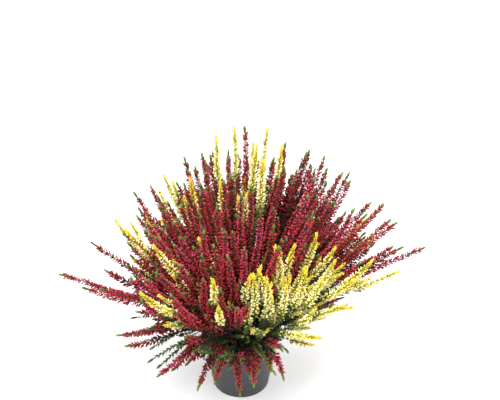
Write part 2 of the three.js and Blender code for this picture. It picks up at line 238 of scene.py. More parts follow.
@dataclass
class Planting:
    """The whole plant's layout: what grows where, and the line that every shoot follows."""

    seed: int = 20417
    shoot_count: int = 153
    golden_angle: float = 137.508
    azimuth_jitter: float = 4.0
    lean_jitter: float = 3.0
    sway_most: float = 7.0
    upturn: tuple[float, float] = (5.0, 40.0)
    peat_top: float = 80.0
    soil_reach: float = 43.0
    rim_share: float = 0.85
    long_lean: float = 76.0
    rim_lean: tuple[float, float] = (80.0, 100.0)
    front_upright: float = 0.22
    back_upright: float = 0.1
    front_rise: float = 0.55
    right_rise: float = 0.17
    long_length: tuple[float, float] = (224.0, 262.0)
    back_longer: float = 12.0
    left_shorter: float = 36.0
    cream_shorter: float = 54.0
    rim_length: tuple[float, float] = (100.0, 155.0)
    rim_leafy_length: tuple[float, float] = (80.0, 135.0)
    leafy_length: tuple[float, float] = (80.0, 120.0)
    cream_front_right: float = 0.96
    cream_elsewhere: float = 0.13
    front: float = -0.08  # sine of the azimuth, below which cream shoots gather
    right: float = 0.02  # cosine of the azimuth, above which they do
    middle_share: float = 0.24  # share of the shoots, counted outwards, that they leave free
    far_right: float = 0.89  # cosine of the azimuth, above which only the front has cream
    leafy_on_rim: float = 0.6
    leafy_inside: float = 0.12
    bare_crimson: tuple[float, float] = (0.28, 0.36)
    bare_cream: tuple[float, float] = (0.4, 0.52)
    bend_length: float = 42.0
    fork_height: float = 9.0
    fork_depth: float = 4.0
    blend_length: float = 26.0
    clearance: float = 2.5
    clearing_rounds: int = 120
    clearing_push: float = 0.35
    longest_move: float = 2.0
    smoothing: float = 0.12
    fork_points: int = 6
    foot_spacing: float = 9.8
    spray_most: int = 5
    spray_reach: float = 13.0

    def grow(self) -> list[Spray]:
        """Lay out every shoot and clear their lines of each other.

        Returns:
            The sprays.
        """
        draws = Draws(self.seed)
        shoots = [self.plant_shoot(index, draws) for index in range(self.shoot_count)]
        self.place_strays(shoots)
        sprays = self.group_in_sprays(shoots)
        self.spread_feet(sprays)
        self.join_to_forks(sprays)
        self.clear_the_way(shoots, sprays)
        self.name_sprays(sprays)
        return sprays

    def plant_shoot(self, index: int, draws: Draws) -> Shoot:
        """Decide what grows at one place of the golden-angle lattice.

        Args:
            index: The place, counted from the middle outwards.
            draws: The layout's random draws.

        Returns:
            The shoot, without its line.
        """
        share = (index + 0.5) / self.shoot_count
        jitter = draws.between(-self.azimuth_jitter, self.azimuth_jitter)
        azimuth = math.radians(index * self.golden_angle + jitter)
        back, right = math.sin(azimuth), math.cos(azimuth)
        on_rim = share > self.rim_share
        front_right = back < self.front and right > self.right and share > self.middle_share
        cream_chance = self.cream_elsewhere if right < self.far_right else 0.0
        if front_right:
            cream_chance = self.cream_front_right
        is_cream = draws.between(0, 1) < cream_chance
        kind = Kind.CREAM if is_cream else Kind.CRIMSON
        bare = draws.between(*(self.bare_cream if is_cream else self.bare_crimson))
        if draws.between(0, 1) < (self.leafy_on_rim if on_rim else self.leafy_inside):
            kind = Kind.LEAFY

        half = math.sqrt(share / self.rim_share) * math.sin(math.radians(self.long_lean / 2))
        lean = 2 * math.asin(min(1.0, half))
        lean *= 1 - self.front_upright * max(0.0, -back) - self.back_upright * max(0.0, back)
        length = draws.between(*self.long_length) + self.back_longer * back
        length -= self.left_shorter * max(0.0, -right)
        if kind is Kind.CREAM and front_right:
            length -= self.cream_shorter
        if on_rim:
            low, high = self.rim_lean
            past = (share - self.rim_share) / (1 - self.rim_share)
            lean = math.radians(low + (high - low) * past)
            length = draws.between(*self.rim_length)
        if kind is Kind.LEAFY:
            length = draws.between(*(self.rim_leafy_length if on_rim else self.leafy_length))
        rise_again = max(0.0, self.right_rise * right - self.front_rise * back) * lean
        return Shoot(
            kind=kind,
            azimuth=azimuth,
            lean=lean + math.radians(draws.between(-self.lean_jitter, self.lean_jitter)),
            length=length,
            bare=bare,
            rise=self.soil_reach * math.sqrt(share),
            sway=math.radians(draws.between(-self.sway_most, self.sway_most)),
            upturn=math.radians(draws.between(*self.upturn)) * min(1.0, lean) + rise_again,
        )

    @staticmethod
    def place_strays(shoots: Sequence[Shoot]) -> None:
        """Let each stray take the place of the shoot that already points most nearly its way.

        Args:
            shoots: Every shoot, in planting order.
        """
        free = list(shoots)
        for stray in STRAYS:
            azimuth, lean = math.radians(stray.azimuth), math.radians(stray.lean)
            nearest = min(free, key=lambda shoot: shoot.angle_to(azimuth, lean))
            free.remove(nearest)
            nearest.kind, nearest.length = stray.kind, stray.length
            nearest.azimuth, nearest.lean = azimuth, lean
            nearest.upturn = math.radians(stray.upturn)

    def group_in_sprays(self, shoots: Sequence[Shoot]) -> list[Spray]:
        """Give neighbours of one kind one woody foot amid the places where they would rise.

        Args:
            shoots: Every shoot, in planting order.

        Returns:
            The sprays.
        """
        free = list(shoots)
        sprays = []
        for leader in shoots:
            if leader not in free:
                continue
            near = [shoot for shoot in free if shoot.kind is leader.kind]
            near = [shoot for shoot in near if leader.gap_to(shoot) < self.spray_reach]
            members = sorted(near, key=leader.gap_to)[: self.spray_most]
            free = [shoot for shoot in free if shoot not in members]
            foot = np.mean([shoot.place for shoot in members], axis=0)
            foot[2] = self.peat_top
            sprays.append(Spray(leader.kind, members, foot))
        return sprays

    def spread_feet(self, sprays: Sequence[Spray]) -> None:
        """Move the feet of sprays apart until there is peat between all of them.

        Args:
            sprays: The sprays, whose feet are moved.
        """
        feet = [[float(spray.foot[0]), float(spray.foot[1])] for spray in sprays]
        for _ in range(self.clearing_rounds):
            for n, foot in enumerate(feet):
                for other in feet[n + 1 :]:
                    x, y = foot[0] - other[0], foot[1] - other[1]
                    length = math.hypot(x, y)
                    short = self.foot_spacing - length
                    if short <= 0:
                        continue
                    x, y = x * short / 2 / length, y * short / 2 / length
                    foot[:] = foot[0] + x, foot[1] + y
                    other[:] = other[0] - x, other[1] - y
                away = math.hypot(*foot)
                if away > self.soil_reach:
                    foot[:] = foot[0] * self.soil_reach / away, foot[1] * self.soil_reach / away
        for spray, (x, y) in zip(sprays, feet):
            spray.foot = np.array([x, y, self.peat_top])

    def alone_line(self, shoot: Shoot) -> np.ndarray:
        """Give the line of a shoot that stands alone: upright, leaning out, then turning up.

        Args:
            shoot: The shoot.

        Returns:
            Its points, a stride apart.
        """
        fine = 4  # short moves in each stride
        stride = FORM.stride
        points = []
        out, up = shoot.rise, 0.0
        n = 0
        while n * stride < shoot.length + stride:
            azimuth = shoot.azimuth + shoot.sway * (n * stride / shoot.length) ** 2
            points.append((out * math.cos(azimuth), out * math.sin(azimuth), self.peat_top + up))
            for part in range(fine):
                run = (n + part / fine) * stride
                leaned = shoot.lean * (1 - math.exp(-((run / self.bend_length) ** 2)))
                lean = leaned - shoot.upturn * (run / shoot.length) ** 2
                out += stride / fine * math.sin(lean)
                up += stride / fine * math.cos(lean)
            n += 1
        return np.array(points)

    def join_to_forks(self, sprays: Sequence[Spray]) -> None:
        """Bend each branch from its spray's fork to its own line.

        Args:
            sprays: The sprays, whose forks and lines are set.
        """
        for spray in sprays:
            spray.fork = spray.foot + (0.0, 0.0, self.fork_height)
            for shoot in spray.members:
                shoot.line = self.alone_line(shoot)
                pull = spray.fork - shoot.line[0]
                pull[2] = self.fork_height - self.fork_depth
                share = np.clip(np.arange(len(shoot.line)) * FORM.stride / self.blend_length, 0, 1)
                shoot.line += np.outer(1 - share**2 * (3 - 2 * share), pull)

    def clear_the_way(self, shoots: Sequence[Shoot], sprays: Sequence[Spray]) -> None:
        """Push points of different shoots that crowd each other apart, a little in each round.

        Woody stems stay, the first point of a branch stays on its fork, and branches of one
        spray may touch near it.

        Args:
            shoots: Every shoot, in planting order.
            sprays: The sprays that hold them.
        """
        spray_of = {id(shoot): n for n, spray in enumerate(sprays) for shoot in spray.members}
        points, owner, family, step, radius = [], [], [], [], []
        for n, shoot in enumerate(shoots):
            for i, point in enumerate(shoot.line):
                points.append(point)
                owner.append(n)
                family.append(spray_of[id(shoot)])
                step.append(i)
                radius.append(shoot.radius_at(i * FORM.stride))
        for n, spray in enumerate(sprays):
            for point in (spray.fork, (spray.foot + spray.fork) / 2):
                points.append(point)
                owner.append(-len(points))
                family.append(n)
                step.append(0)
                radius.append(FORM.woody_radius)
        crowd = Crowd(
            np.array(points), np.array(owner), np.array(family), np.array(step), np.array(radius)
        )
        lasts = np.cumsum([len(shoot.line) for shoot in shoots]) - 1
        inner = np.array(step) > 0
        inner[lasts] = False
        for _ in range(self.clearing_rounds):
            crowd.push_apart(self)
            crowd.smooth(np.flatnonzero(inner), self.smoothing)
        first = 0
        for shoot in shoots:
            shoot.line = crowd.points[first : first + len(shoot.line)]
            first += len(shoot.line)

    @staticmethod
    def name_sprays(sprays: Sequence[Spray]) -> None:
        """Number the sprays of each kind in order, as their CAD nodes are named.

        Args:
            sprays: The sprays, which get their names.
        """
        counts = dict.fromkeys(Kind, 0)
        for spray in sprays:
            counts[spray.kind] += 1
            spray.name = f"{spray.kind.value}_spray_{counts[spray.kind]:02d}"


@dataclass
class Crowd:
    """The points of all shoots, which push each other apart where they stand too close."""

    points: np.ndarray
    owner: np.ndarray
    family: np.ndarray
    step: np.ndarray
    radius: np.ndarray
    slack: float = 4.0
    pairs: np.ndarray = field(default_factory=lambda: np.zeros((2, 0), int))
    paired_at: np.ndarray = field(default_factory=lambda: np.zeros((0, 3)))

    def find_pairs(self, planting: Planting) -> None:
        """List the pairs that may come too close before any point has moved half the slack.

        Args:
            planting: The layout, which says how near is too near.
        """
        reach = 2 * self.radius.max() + planting.clearance + self.slack
        order = np.argsort(self.points[:, 0], kind="stable")
        x = self.points[order, 0]
        found = []
        for shift in range(1, len(x)):
            close = np.flatnonzero(x[shift:] - x[:-shift] < reach)
            if not len(close):
                break
            a, b = order[close], order[close + shift]
            near = ((self.points[a] - self.points[b]) ** 2).sum(1) < reach**2
            near &= self.owner[a] != self.owner[b]
            at_fork = np.minimum(self.step[a], self.step[b]) < planting.fork_points
            near &= ~((self.family[a] == self.family[b]) & at_fork)
            found.append(np.stack([a[near], b[near]]))
        self.pairs = np.concatenate(found, axis=1)
        self.paired_at = self.points.copy()

    def push_apart(self, planting: Planting) -> None:
        """Move every point away from those that stand too close, once.

        Args:
            planting: The layout, which says how near is too near and how far a point may move.
        """
        moved = self.points - self.paired_at if len(self.paired_at) else None
        if moved is None or (moved**2).sum(1).max() > (self.slack / 2) ** 2:
            self.find_pairs(planting)
        a, b = self.pairs
        push = self.points[a] - self.points[b]
        gap = np.sqrt((push**2).sum(1))
        short = self.radius[a] + self.radius[b] + planting.clearance - gap
        crowded = short > 0
        a, b = a[crowded], b[crowded]
        push = push[crowded] * (planting.clearing_push * short[crowded] / gap[crowded])[:, None]
        count = len(self.points)
        move = np.stack(
            [np.bincount(a, w, count) - np.bincount(b, w, count) for w in push.T], axis=1
        )
        length = np.sqrt((move**2).sum(1))
        move *= np.minimum(1, planting.longest_move / np.maximum(length, 1e-12))[:, None]
        move[self.step == 0] = 0
        self.points += move

    def smooth(self, inner: np.ndarray, share: float) -> None:
        """Draw each inner point of a line a little towards the middle of its neighbours."""
        middle = (self.points[inner - 1] + self.points[inner + 1]) / 2
        self.points[inner] += share * (middle - self.points[inner])


# ---- Small shapes that are copied along a shoot ----


@dataclass(frozen=True)
class Path:
    """The line of a shoot, with directions along it and across it."""

    points: np.ndarray

    def at(self, runs: np.ndarray) -> tuple[np.ndarray, np.ndarray, np.ndarray, np.ndarray]:
        """Give places on the line and the directions there.

        Args:
            runs: Lengths along the line from its foot.

        Returns:
            The places, and the unit directions along, to the side and across both.
        """
        grid = np.arange(len(self.points)) * FORM.stride
        places = np.stack([np.interp(runs, grid, x) for x in self.points.T], axis=1)
        slopes = np.gradient(self.points, axis=0)
        along = unit(np.stack([np.interp(runs, grid, x) for x in slopes.T], axis=1))
        side = unit(np.cross((1.0, 3.0, 0.0), along))
        return places, along, side, np.cross(along, side)

    def swung(
        self, runs: np.ndarray, turn: np.ndarray, spread: np.ndarray
    ) -> tuple[np.ndarray, np.ndarray, np.ndarray]:
        """Give places on the line and directions that swing away from it there.

        Args:
            runs: Lengths along the line from its foot.
            turn: Angles round the line, in radians.
            spread: Angles away from it, in radians.

        Returns:
            The places, the unit directions, and unit directions across them that face the foot.
        """
        places, along, side, other = self.at(runs)
        outward = np.cos(turn)[:, None] * side + np.sin(turn)[:, None] * other
        reach, rise = np.sin(spread)[:, None], np.cos(spread)[:, None]
        return places, reach * outward + rise * along, rise * outward - reach * along


def unit(vectors: np.ndarray) -> np.ndarray:
    """Scale each row to a length of one."""
    return vectors / np.linalg.norm(vectors, axis=1, keepdims=True)


def turned(profile: Sequence[tuple[float, float]], sides: int) -> bmesh.types.BMesh:
    """Turn a profile about +Z into a closed shape whose faces point outwards.

    Args:
        profile: Points of radius and height. The last is on the axis, and so is the first unless
            the shape ends in a flat face there.
        sides: How many sides the shape has.

    Returns:
        The shape, which whoever asked for it frees.
    """
    shape = bmesh.new()
    verts = [shape.verts.new((radius, 0.0, height)) for radius, height in profile]
    edges = [shape.edges.new(pair) for pair in zip(verts, verts[1:])]
    bmesh.ops.spin(
        shape,
        geom=verts + edges,
        cent=(0, 0, 0),
        axis=(0, 0, 1),
        angle=2 * math.pi,
        steps=sides,
        use_merge=True,
    )
    bmesh.ops.remove_doubles(shape, verts=shape.verts, dist=TINY)
    bmesh.ops.holes_fill(shape, edges=shape.edges, sides=sides)
    bmesh.ops.recalc_face_normals(shape, faces=shape.faces)
    return shape


def taken(shape: bmesh.types.BMesh) -> tuple[np.ndarray, tuple[tuple[int, ...], ...]]:
    """Take the vertices and faces out of a shape, and free it.

    Args:
        shape: The shape.

    Returns:
        Its vertices, and the vertex numbers of each face.
    """
    shape.verts.index_update()
    spots = np.array([vert.co for vert in shape.verts])
    faces = tuple(tuple(vert.index for vert in face.verts) for face in shape.faces)
    shape.free()
    return spots, faces


@dataclass(frozen=True)
class Stamp:
    """A small closed shape of unit length along +Z and unit radius, ready to be copied.

    Attributes:
        spots: Its vertices.
        faces: The vertex numbers of each face.
        marks: For each vertex, its share of the way round and along the shape.
    """

    spots: np.ndarray
    faces: tuple[tuple[int, ...], ...]
    marks: np.ndarray

    @classmethod
    def curled(cls, profile: Sequence[tuple[float, float]], sides: int, curl: float) -> "Stamp":
        """Turn a profile about +Z and lean its far end over.

        Args:
            profile: Points of radius and height from the root to the point.
            sides: How many sides the shape has.
            curl: How far the point leans towards +X.

        Returns:
            The stamp.
        """
        spots, faces = taken(turned(profile, sides))
        turn = np.abs(np.arctan2(spots[:, 1], spots[:, 0])) / math.pi
        on_axis = np.hypot(spots[:, 0], spots[:, 1]) < TINY
        marks = np.stack([np.where(on_axis, 0.5, turn), spots[:, 2]], axis=1)
        spots[:, 0] += curl * spots[:, 2] ** 2
        return cls(spots, faces, marks)


@dataclass
class Crop:
    """Many copies of one stamp: where each stands, which way it points, its size and its tone."""

    places: np.ndarray
    along: np.ndarray
    across: np.ndarray
    lengths: np.ndarray
    widths: np.ndarray
    tones: np.ndarray


class Palette:
    """How the finishes share one UV map: columns of tone, each as wide as a shape's way round."""

    CELLS = 64
    EDGE = 0.12  # share of a column left free on either side
    END = 0.01  # share of the map left free at either end

    @classmethod
    def place(cls, tones: np.ndarray, around: np.ndarray, along: np.ndarray) -> np.ndarray:
        """Give map coordinates.

        Args:
            tones: Tone from 0 to 1.
            around: Share of the way round, from 0 to 1.
            along: Share of the way along, from 0 to 1.

        Returns:
            One row of U and V for each.
        """
        cell = np.clip(np.floor(tones * cls.CELLS), 0, cls.CELLS - 1)
        u = (cell + cls.EDGE + (1 - 2 * cls.EDGE) * around) / cls.CELLS
        return np.stack([u, cls.END + (1 - 2 * cls.END) * along], axis=1)


class Growth:
    """A mesh in the making: stamps and tubes, each with a material and palette coordinates."""

    def __init__(self) -> None:
        """Start with nothing."""
        self.spots: list[np.ndarray] = []
        self.marks: list[np.ndarray] = []
        self.corners: list[np.ndarray] = []
        self.sizes: list[np.ndarray] = []
        self.slots: list[np.ndarray] = []
        self.count = 0

    def add(
        self, spots: np.ndarray, marks: np.ndarray, faces: Sequence[np.ndarray], slot: int
    ) -> None:
        """Add vertices with their faces.

        Args:
            spots: Vertices in millimetres.
            marks: Map coordinates of each vertex.
            faces: Arrays of faces, each of one number of corners.
            slot: The material's place on the mesh.
        """
        self.spots.append(spots)
        self.marks.append(marks)
        for group in faces:
            self.corners.append((group + self.count).ravel())
            self.sizes.append(np.full(len(group), group.shape[1]))
            self.slots.append(np.full(len(group), slot))
        self.count += len(spots)

    def add_crop(self, stamp: Stamp, crop: Crop, slot: int) -> None:
        """Add a copy of the stamp for each place of the crop.

        Args:
            stamp: The shape.
            crop: The copies to make.
            slot: The material's place on the mesh.
        """
        copies, corners = len(crop.places), len(stamp.spots)
        if not copies:
            return
        lengths, widths = crop.lengths[:, None], crop.widths[:, None]
        other = np.cross(crop.along, crop.across)
        spots = crop.places[:, None]
        edges = (crop.along * lengths, crop.across * widths, other * widths)
        for edge, height in zip(edges, stamp.spots.T[[2, 0, 1]]):
            spots = spots + height[None, :, None] * edge[:, None]
        around, along = stamp.marks.T
        marks = Palette.place(
            np.repeat(crop.tones, corners), np.tile(around, copies), np.tile(along, copies)
        )
        shift = (np.arange(copies) * corners)[:, None, None]
        groups = []
        for size in sorted({len(face) for face in stamp.faces}):
            faces = np.array([face for face in stamp.faces if len(face) == size])
            groups.append((faces[None] + shift).reshape(-1, size))
        self.add(spots.reshape(-1, 3), marks, groups, slot)

    def mesh(self, name: str, materials: Sequence[bpy.types.Material]) -> bpy.types.Object:
        """Make the object, in metres, with smooth faces and its palette map.

        Args:
            name: The piece's name.
            materials: The materials, by slot.

        Returns:
            The linked object.
        """
        corners, sizes = np.concatenate(self.corners), np.concatenate(self.sizes)
        mesh = bpy.data.meshes.new(name)
        mesh.vertices.add(self.count)
        mesh.vertices.foreach_set("co", (np.concatenate(self.spots) * MM).ravel())
        mesh.loops.add(len(corners))
        mesh.loops.foreach_set("vertex_index", corners.astype(np.int32))
        mesh.polygons.add(len(sizes))
        starts = np.concatenate([[0], np.cumsum(sizes)[:-1]])
        mesh.polygons.foreach_set("loop_start", starts.astype(np.int32))
        mesh.polygons.foreach_set("material_index", np.concatenate(self.slots).astype(np.int32))
        mesh.update(calc_edges=True)
        mesh.shade_smooth()
        layer = mesh.uv_layers.new(name="OFBake")
        layer.uv.foreach_set("vector", np.concatenate(self.marks)[corners].astype(np.float32).ravel())
        for material in materials:
            mesh.materials.append(material)
        return link(name, mesh)


def link(name: str, mesh: bpy.types.Mesh) -> bpy.types.Object:
    """Make an object for a mesh and link it to the scene.

    Args:
        name: The object's name.
        mesh: Its mesh.

    Returns:
        The object.
    """
    piece = bpy.data.objects.new(name, mesh)
    bpy.context.scene.collection.objects.link(piece)
    return piece


def cast(name: str, shape: bmesh.types.BMesh) -> bpy.types.Object:
    """Turn a shape in millimetres into a linked object in metres, and free it.

    Args:
        name: The object's name.
        shape: The shape.

    Returns:
        The object.
    """
    bmesh.ops.scale(shape, vec=(MM, MM, MM), verts=shape.verts)
    mesh = bpy.data.meshes.new(name)
    shape.to_mesh(mesh)
    shape.free()
    return link(name, mesh)


# ---- Finishes ----


class Value:
    """A number in a shader, on which sums are written as Python expressions."""

    def __init__(self, tree: bpy.types.NodeTree, socket: bpy.types.NodeSocket) -> None:
        """Wrap an output socket."""
        self.tree = tree
        self.socket = socket

    def worked(self, operation: str, *terms: "Value | float") -> "Value":
        """Add a Math node.

        Args:
            operation: What it does.
            terms: What it works on, in order.

        Returns:
            Its result.
        """
        node = self.tree.nodes.new("ShaderNodeMath")
        node.operation = operation
        for slot, term in zip(node.inputs, terms):
            if isinstance(term, Value):
                self.tree.links.new(term.socket, slot)
            else:
                slot.default_value = term
        return Value(self.tree, node.outputs[0])

    def __add__(self, other: "Value | float") -> "Value":
        """Add."""
        return self.worked("ADD", self, other)

    __radd__ = __add__

    def __sub__(self, other: "Value | float") -> "Value":
        """Take away."""
        return self.worked("SUBTRACT", self, other)

    def __rsub__(self, other: float) -> "Value":
        """Take this from a number."""
        return self.worked("SUBTRACT", other, self)

    def __mul__(self, other: "Value | float") -> "Value":
        """Multiply."""
        return self.worked("MULTIPLY", self, other)

    __rmul__ = __mul__

    def __truediv__(self, other: "Value | float") -> "Value":
        """Divide."""
        return self.worked("DIVIDE", self, other)

    def floor(self) -> "Value":
        """Round down."""
        return self.worked("FLOOR", self)

    def fraction(self) -> "Value":
        """Give the part after the decimal point."""
        return self.worked("FRACT", self)

    def clamped(self) -> "Value":
        """Keep between 0 and 1."""
        return self.worked("MINIMUM", self.worked("MAXIMUM", self, 0.0), 1.0)

    def rising(self, start: float, slope: float) -> "Value":
        """Give 0 up to a start, and from there a slope up to 1."""
        return ((self - start) * slope).clamped()


Colour = tuple[float, float, float]
Stops = tuple[tuple[float, Colour], ...]


class Recipe:
    """A material in the making, on one Principled shader."""

    MIX_SOCKETS = (0, 6, 7)  # a Mix node's factor and colours, by number: their names repeat
    MIX_RESULT = 2

    def __init__(self, name: str) -> None:
        """Start a material with an empty node tree.

        Args:
            name: The material's name.
        """
        self.material = bpy.data.materials.new(name)
        self.material.use_nodes = True
        self.tree = self.material.node_tree
        self.tree.nodes.clear()

    def node(
        self, kind: str, settings: dict[str, Any] | None = None, inputs: dict[Any, Any] | None = None
    ) -> bpy.types.Node:
        """Add a node.

        Args:
            kind: The node's type.
            settings: Its own settings, and the stops of a colour ramp as "stops".
            inputs: A value or a link for each named or numbered input socket.

        Returns:
            The node.
        """
        node = self.tree.nodes.new(kind)
        for name, setting in (settings or {}).items():
            if name == "stops":
                self.set_stops(node.color_ramp, setting)
            else:
                setattr(node, name, setting)
        for name, given in (inputs or {}).items():
            if isinstance(given, Value):
                given = given.socket
            if isinstance(given, bpy.types.NodeSocket):
                self.tree.links.new(given, node.inputs[name])
            else:
                node.inputs[name].default_value = given
        return node

    @staticmethod
    def set_stops(ramp: bpy.types.ColorRamp, stops: Stops) -> None:
        """Give a colour ramp its stops.

        Args:
            ramp: The ramp.
            stops: The position and colour of each.
        """
        while len(ramp.elements) < len(stops):
            ramp.elements.new(1.0)
        for element, (position, colour) in zip(ramp.elements, stops):
            element.position = position
            element.color = (*colour, 1.0)

    def ramp(self, factor: Value, stops: Stops) -> bpy.types.NodeSocket:
        """Read a colour ramp at a factor."""
        return self.node("ShaderNodeValToRGB", {"stops": stops}, {0: factor}).outputs[0]

    def mix(self, factor: Value | float, first: Any, second: Any) -> bpy.types.NodeSocket:
        """Mix two colours.

        Args:
            factor: The share of the second.
            first: A colour or a link.
            second: A colour or a link.

        Returns:
            The mixed colour.
        """
        pair = [(*c, 1.0) if isinstance(c, tuple) else c for c in (first, second)]
        inputs = dict(zip(self.MIX_SOCKETS, (factor, *pair)))
        mixer = self.node("ShaderNodeMix", {"data_type": "RGBA"}, inputs)
        return mixer.outputs[self.MIX_RESULT]

    def noise(self, place: bpy.types.NodeSocket, scale: float, detail: float) -> Value:
        """Read a noise at a place, with a scale per metre."""
        inputs = {"Vector": place, "Scale": scale, "Detail": detail}
        return Value(self.tree, self.node("ShaderNodeTexNoise", None, inputs).outputs[0])

    def object_place(self) -> bpy.types.NodeSocket:
        """Give the place on the object, in metres."""
        return self.node("ShaderNodeTexCoord").outputs["Object"]

    def palette(self) -> tuple[Value, Value, Value]:
        """Read the palette map.

        Returns:
            The tone, the share of the way round and the share of the way along.
        """
        uv = self.node("ShaderNodeUVMap", {"uv_map": "OFBake"}).outputs[0]
        split = self.node("ShaderNodeSeparateXYZ", None, {0: uv})
        column = Value(self.tree, split.outputs[0]) * Palette.CELLS
        tone = (column.floor() + 0.5) / Palette.CELLS
        return tone, column.fraction(), Value(self.tree, split.outputs[1])

    def bump(self, height: Value, strength: float, distance: float) -> bpy.types.NodeSocket:
        """Give the normal of a bumped surface, with its depth in metres."""
        inputs = {"Strength": strength, "Distance": distance, "Height": height}
        return self.node("ShaderNodeBump", None, inputs).outputs[0]

    def finish(self, inputs: dict[str, Any]) -> bpy.types.Material:
        """Close the recipe with a Principled shader.

        Args:
            inputs: The shader's inputs by name.

        Returns:
            The material.
        """
        shader = self.node("ShaderNodeBsdfPrincipled", None, inputs)
        output = self.node("ShaderNodeOutputMaterial")
        self.tree.links.new(shader.outputs[0], output.inputs[0])
        return self.material


@dataclass(frozen=True)
class PetalFinish:
    """Satin bud sepals: a stalk colour, a body and a paler point, by the bud's tone. On crimson buds
    the near-black stalk is partly painted shade and the palest point partly a painted highlight.
    """

    name: str
    stalk: Stops
    body: Stops
    point: Stops
    body_rise: tuple[float, float] = (0.3, 6.0)  # where along a bud it begins, and its slope
    point_rise: tuple[float, float] = (0.62, 3.2)
    seam_narrowness: float = 40.0
    seam_depth: float = 0.25
    roughness: float = 0.5
    foot_rougher: float = 0.15
    shine: float = 0.3

    def material(self) -> bpy.types.Material:
        """Build the material.

        Returns:
            The material.
        """
        recipe = Recipe(self.name)
        tone, around, along = recipe.palette()
        stalk = recipe.ramp(tone, self.stalk)
        body = recipe.ramp(tone, self.body)
        point = recipe.ramp(tone, self.point)
        off_seam = ((around - 0.5) * (around - 0.5) * self.seam_narrowness).clamped()
        colour = recipe.mix(along.rising(*self.body_rise), stalk, body)
        colour = recipe.mix(along.rising(*self.point_rise), colour, point)
        colour = recipe.mix(self.seam_depth * (1 - off_seam), colour, stalk)
        rough = self.roughness + self.foot_rougher * (1 - along)
        return recipe.finish(
            {"Base Color": colour, "Roughness": rough, "Specular IOR Level": self.shine}
        )


@dataclass(frozen=True)
class LeafFinish:
    """Scale leaves: darker at the root and in the middle, by the leaf's tone."""

    name: str
    root: Stops
    blade: Stops
    blade_rise: tuple[float, float] = (0.1, 1.6)  # where along a leaf it begins, and its slope
    rib_depth: float = 0.35
    roughness: float = 0.55
    side_rougher: float = 0.1

    def material(self) -> bpy.types.Material:
        """Build the material.

        Returns:
            The material.
        """
        recipe = Recipe(self.name)
        tone, around, along = recipe.palette()
        root = recipe.ramp(tone, self.root)
        blade = recipe.ramp(tone, self.blade)
        colour = recipe.mix(along.rising(*self.blade_rise), root, blade)
        colour = recipe.mix(self.rib_depth * (1 - around), colour, root)
        rough = self.roughness + self.side_rougher * around
        return recipe.finish({"Base Color": colour, "Roughness": rough})


@dataclass(frozen=True)
class BarkFinish:
    """Thin bark that turns from brown wood to green growth up the shoot."""

    name: str
    wood: Stops
    growth: Stops
    growth_rise: tuple[float, float] = (0.15, 1.5)  # where along a shoot it begins, and its slope
    streaks: float = 3.0
    streak_depth: float = 0.3
    roughness: float = 0.75

    def material(self) -> bpy.types.Material:
        """Build the material.

        Returns:
            The material.
        """
        recipe = Recipe(self.name)
        tone, around, along = recipe.palette()
        wood = recipe.ramp(tone, self.wood)
        growth = recipe.ramp(tone, self.growth)
        colour = recipe.mix(along.rising(*self.growth_rise), wood, growth)
        streak = (around * self.streaks).fraction()
        colour = recipe.mix(self.streak_depth * streak, colour, wood)
        return recipe.finish({"Base Color": colour, "Roughness": self.roughness})


@dataclass(frozen=True)
class PotFinish:
    """Thin moulded plastic with a dull sheen, finely grained and a little dusty."""

    name: str = "pot_plastic"
    plastic: Colour = (0.022, 0.027, 0.032)
    dusty: Colour = (0.05, 0.056, 0.06)
    dust_scale: float = 28.0
    dust_rise: tuple[float, float] = (0.5, 3.0)
    dust_depth: float = 0.5
    grain_scale: float = 2600.0
    grain_strength: float = 0.35
    grain_height: float = 0.0002  # metres
    roughness: float = 0.36
    dust_rougher: float = 0.22

    def material(self) -> bpy.types.Material:
        """Build the material.

        Returns:
            The material.
        """
        recipe = Recipe(self.name)
        place = recipe.object_place()
        dust = recipe.noise(place, self.dust_scale, detail=6.0)
        grain = recipe.noise(place, self.grain_scale, detail=2.0)
        share = dust.rising(*self.dust_rise) * self.dust_depth
        colour = recipe.mix(share, self.plastic, self.dusty)
        rough = self.roughness + self.dust_rougher * dust
        normal = recipe.bump(grain, self.grain_strength, self.grain_height)
        return recipe.finish({"Base Color": colour, "Roughness": rough, "Normal": normal})


@dataclass(frozen=True)
class PeatFinish:
    """Moist crumbly peat: near black with brown fibres."""

    name: str = "peat_crumbs"
    dark: Colour = (0.008, 0.005, 0.003)
    brown: Colour = (0.06, 0.032, 0.016)
    lump_scale: float = 220.0
    lump_depth: float = 0.2
    fibre_scale: float = 900.0
    fibre_rise: tuple[float, float] = (0.52, 6.0)
    fibre_depth: float = 0.7
    fibre_relief: float = 0.5
    relief: float = 0.8
    relief_height: float = 0.0012  # metres
    roughness: float = 0.95

    def material(self) -> bpy.types.Material:
        """Build the material.

        Returns:
            The material.
        """
        recipe = Recipe(self.name)
        place = recipe.object_place()
        lumps = recipe.noise(place, self.lump_scale, detail=8.0)
        fibres = recipe.noise(place, self.fibre_scale, detail=4.0)
        share = fibres.rising(*self.fibre_rise) * self.fibre_depth + lumps * self.lump_depth
        colour = recipe.mix(share, self.dark, self.brown)
        height = lumps + self.fibre_relief * fibres
        normal = recipe.bump(height, self.relief, self.relief_height)
        return recipe.finish({"Base Color": colour, "Roughness": self.roughness, "Normal": normal})


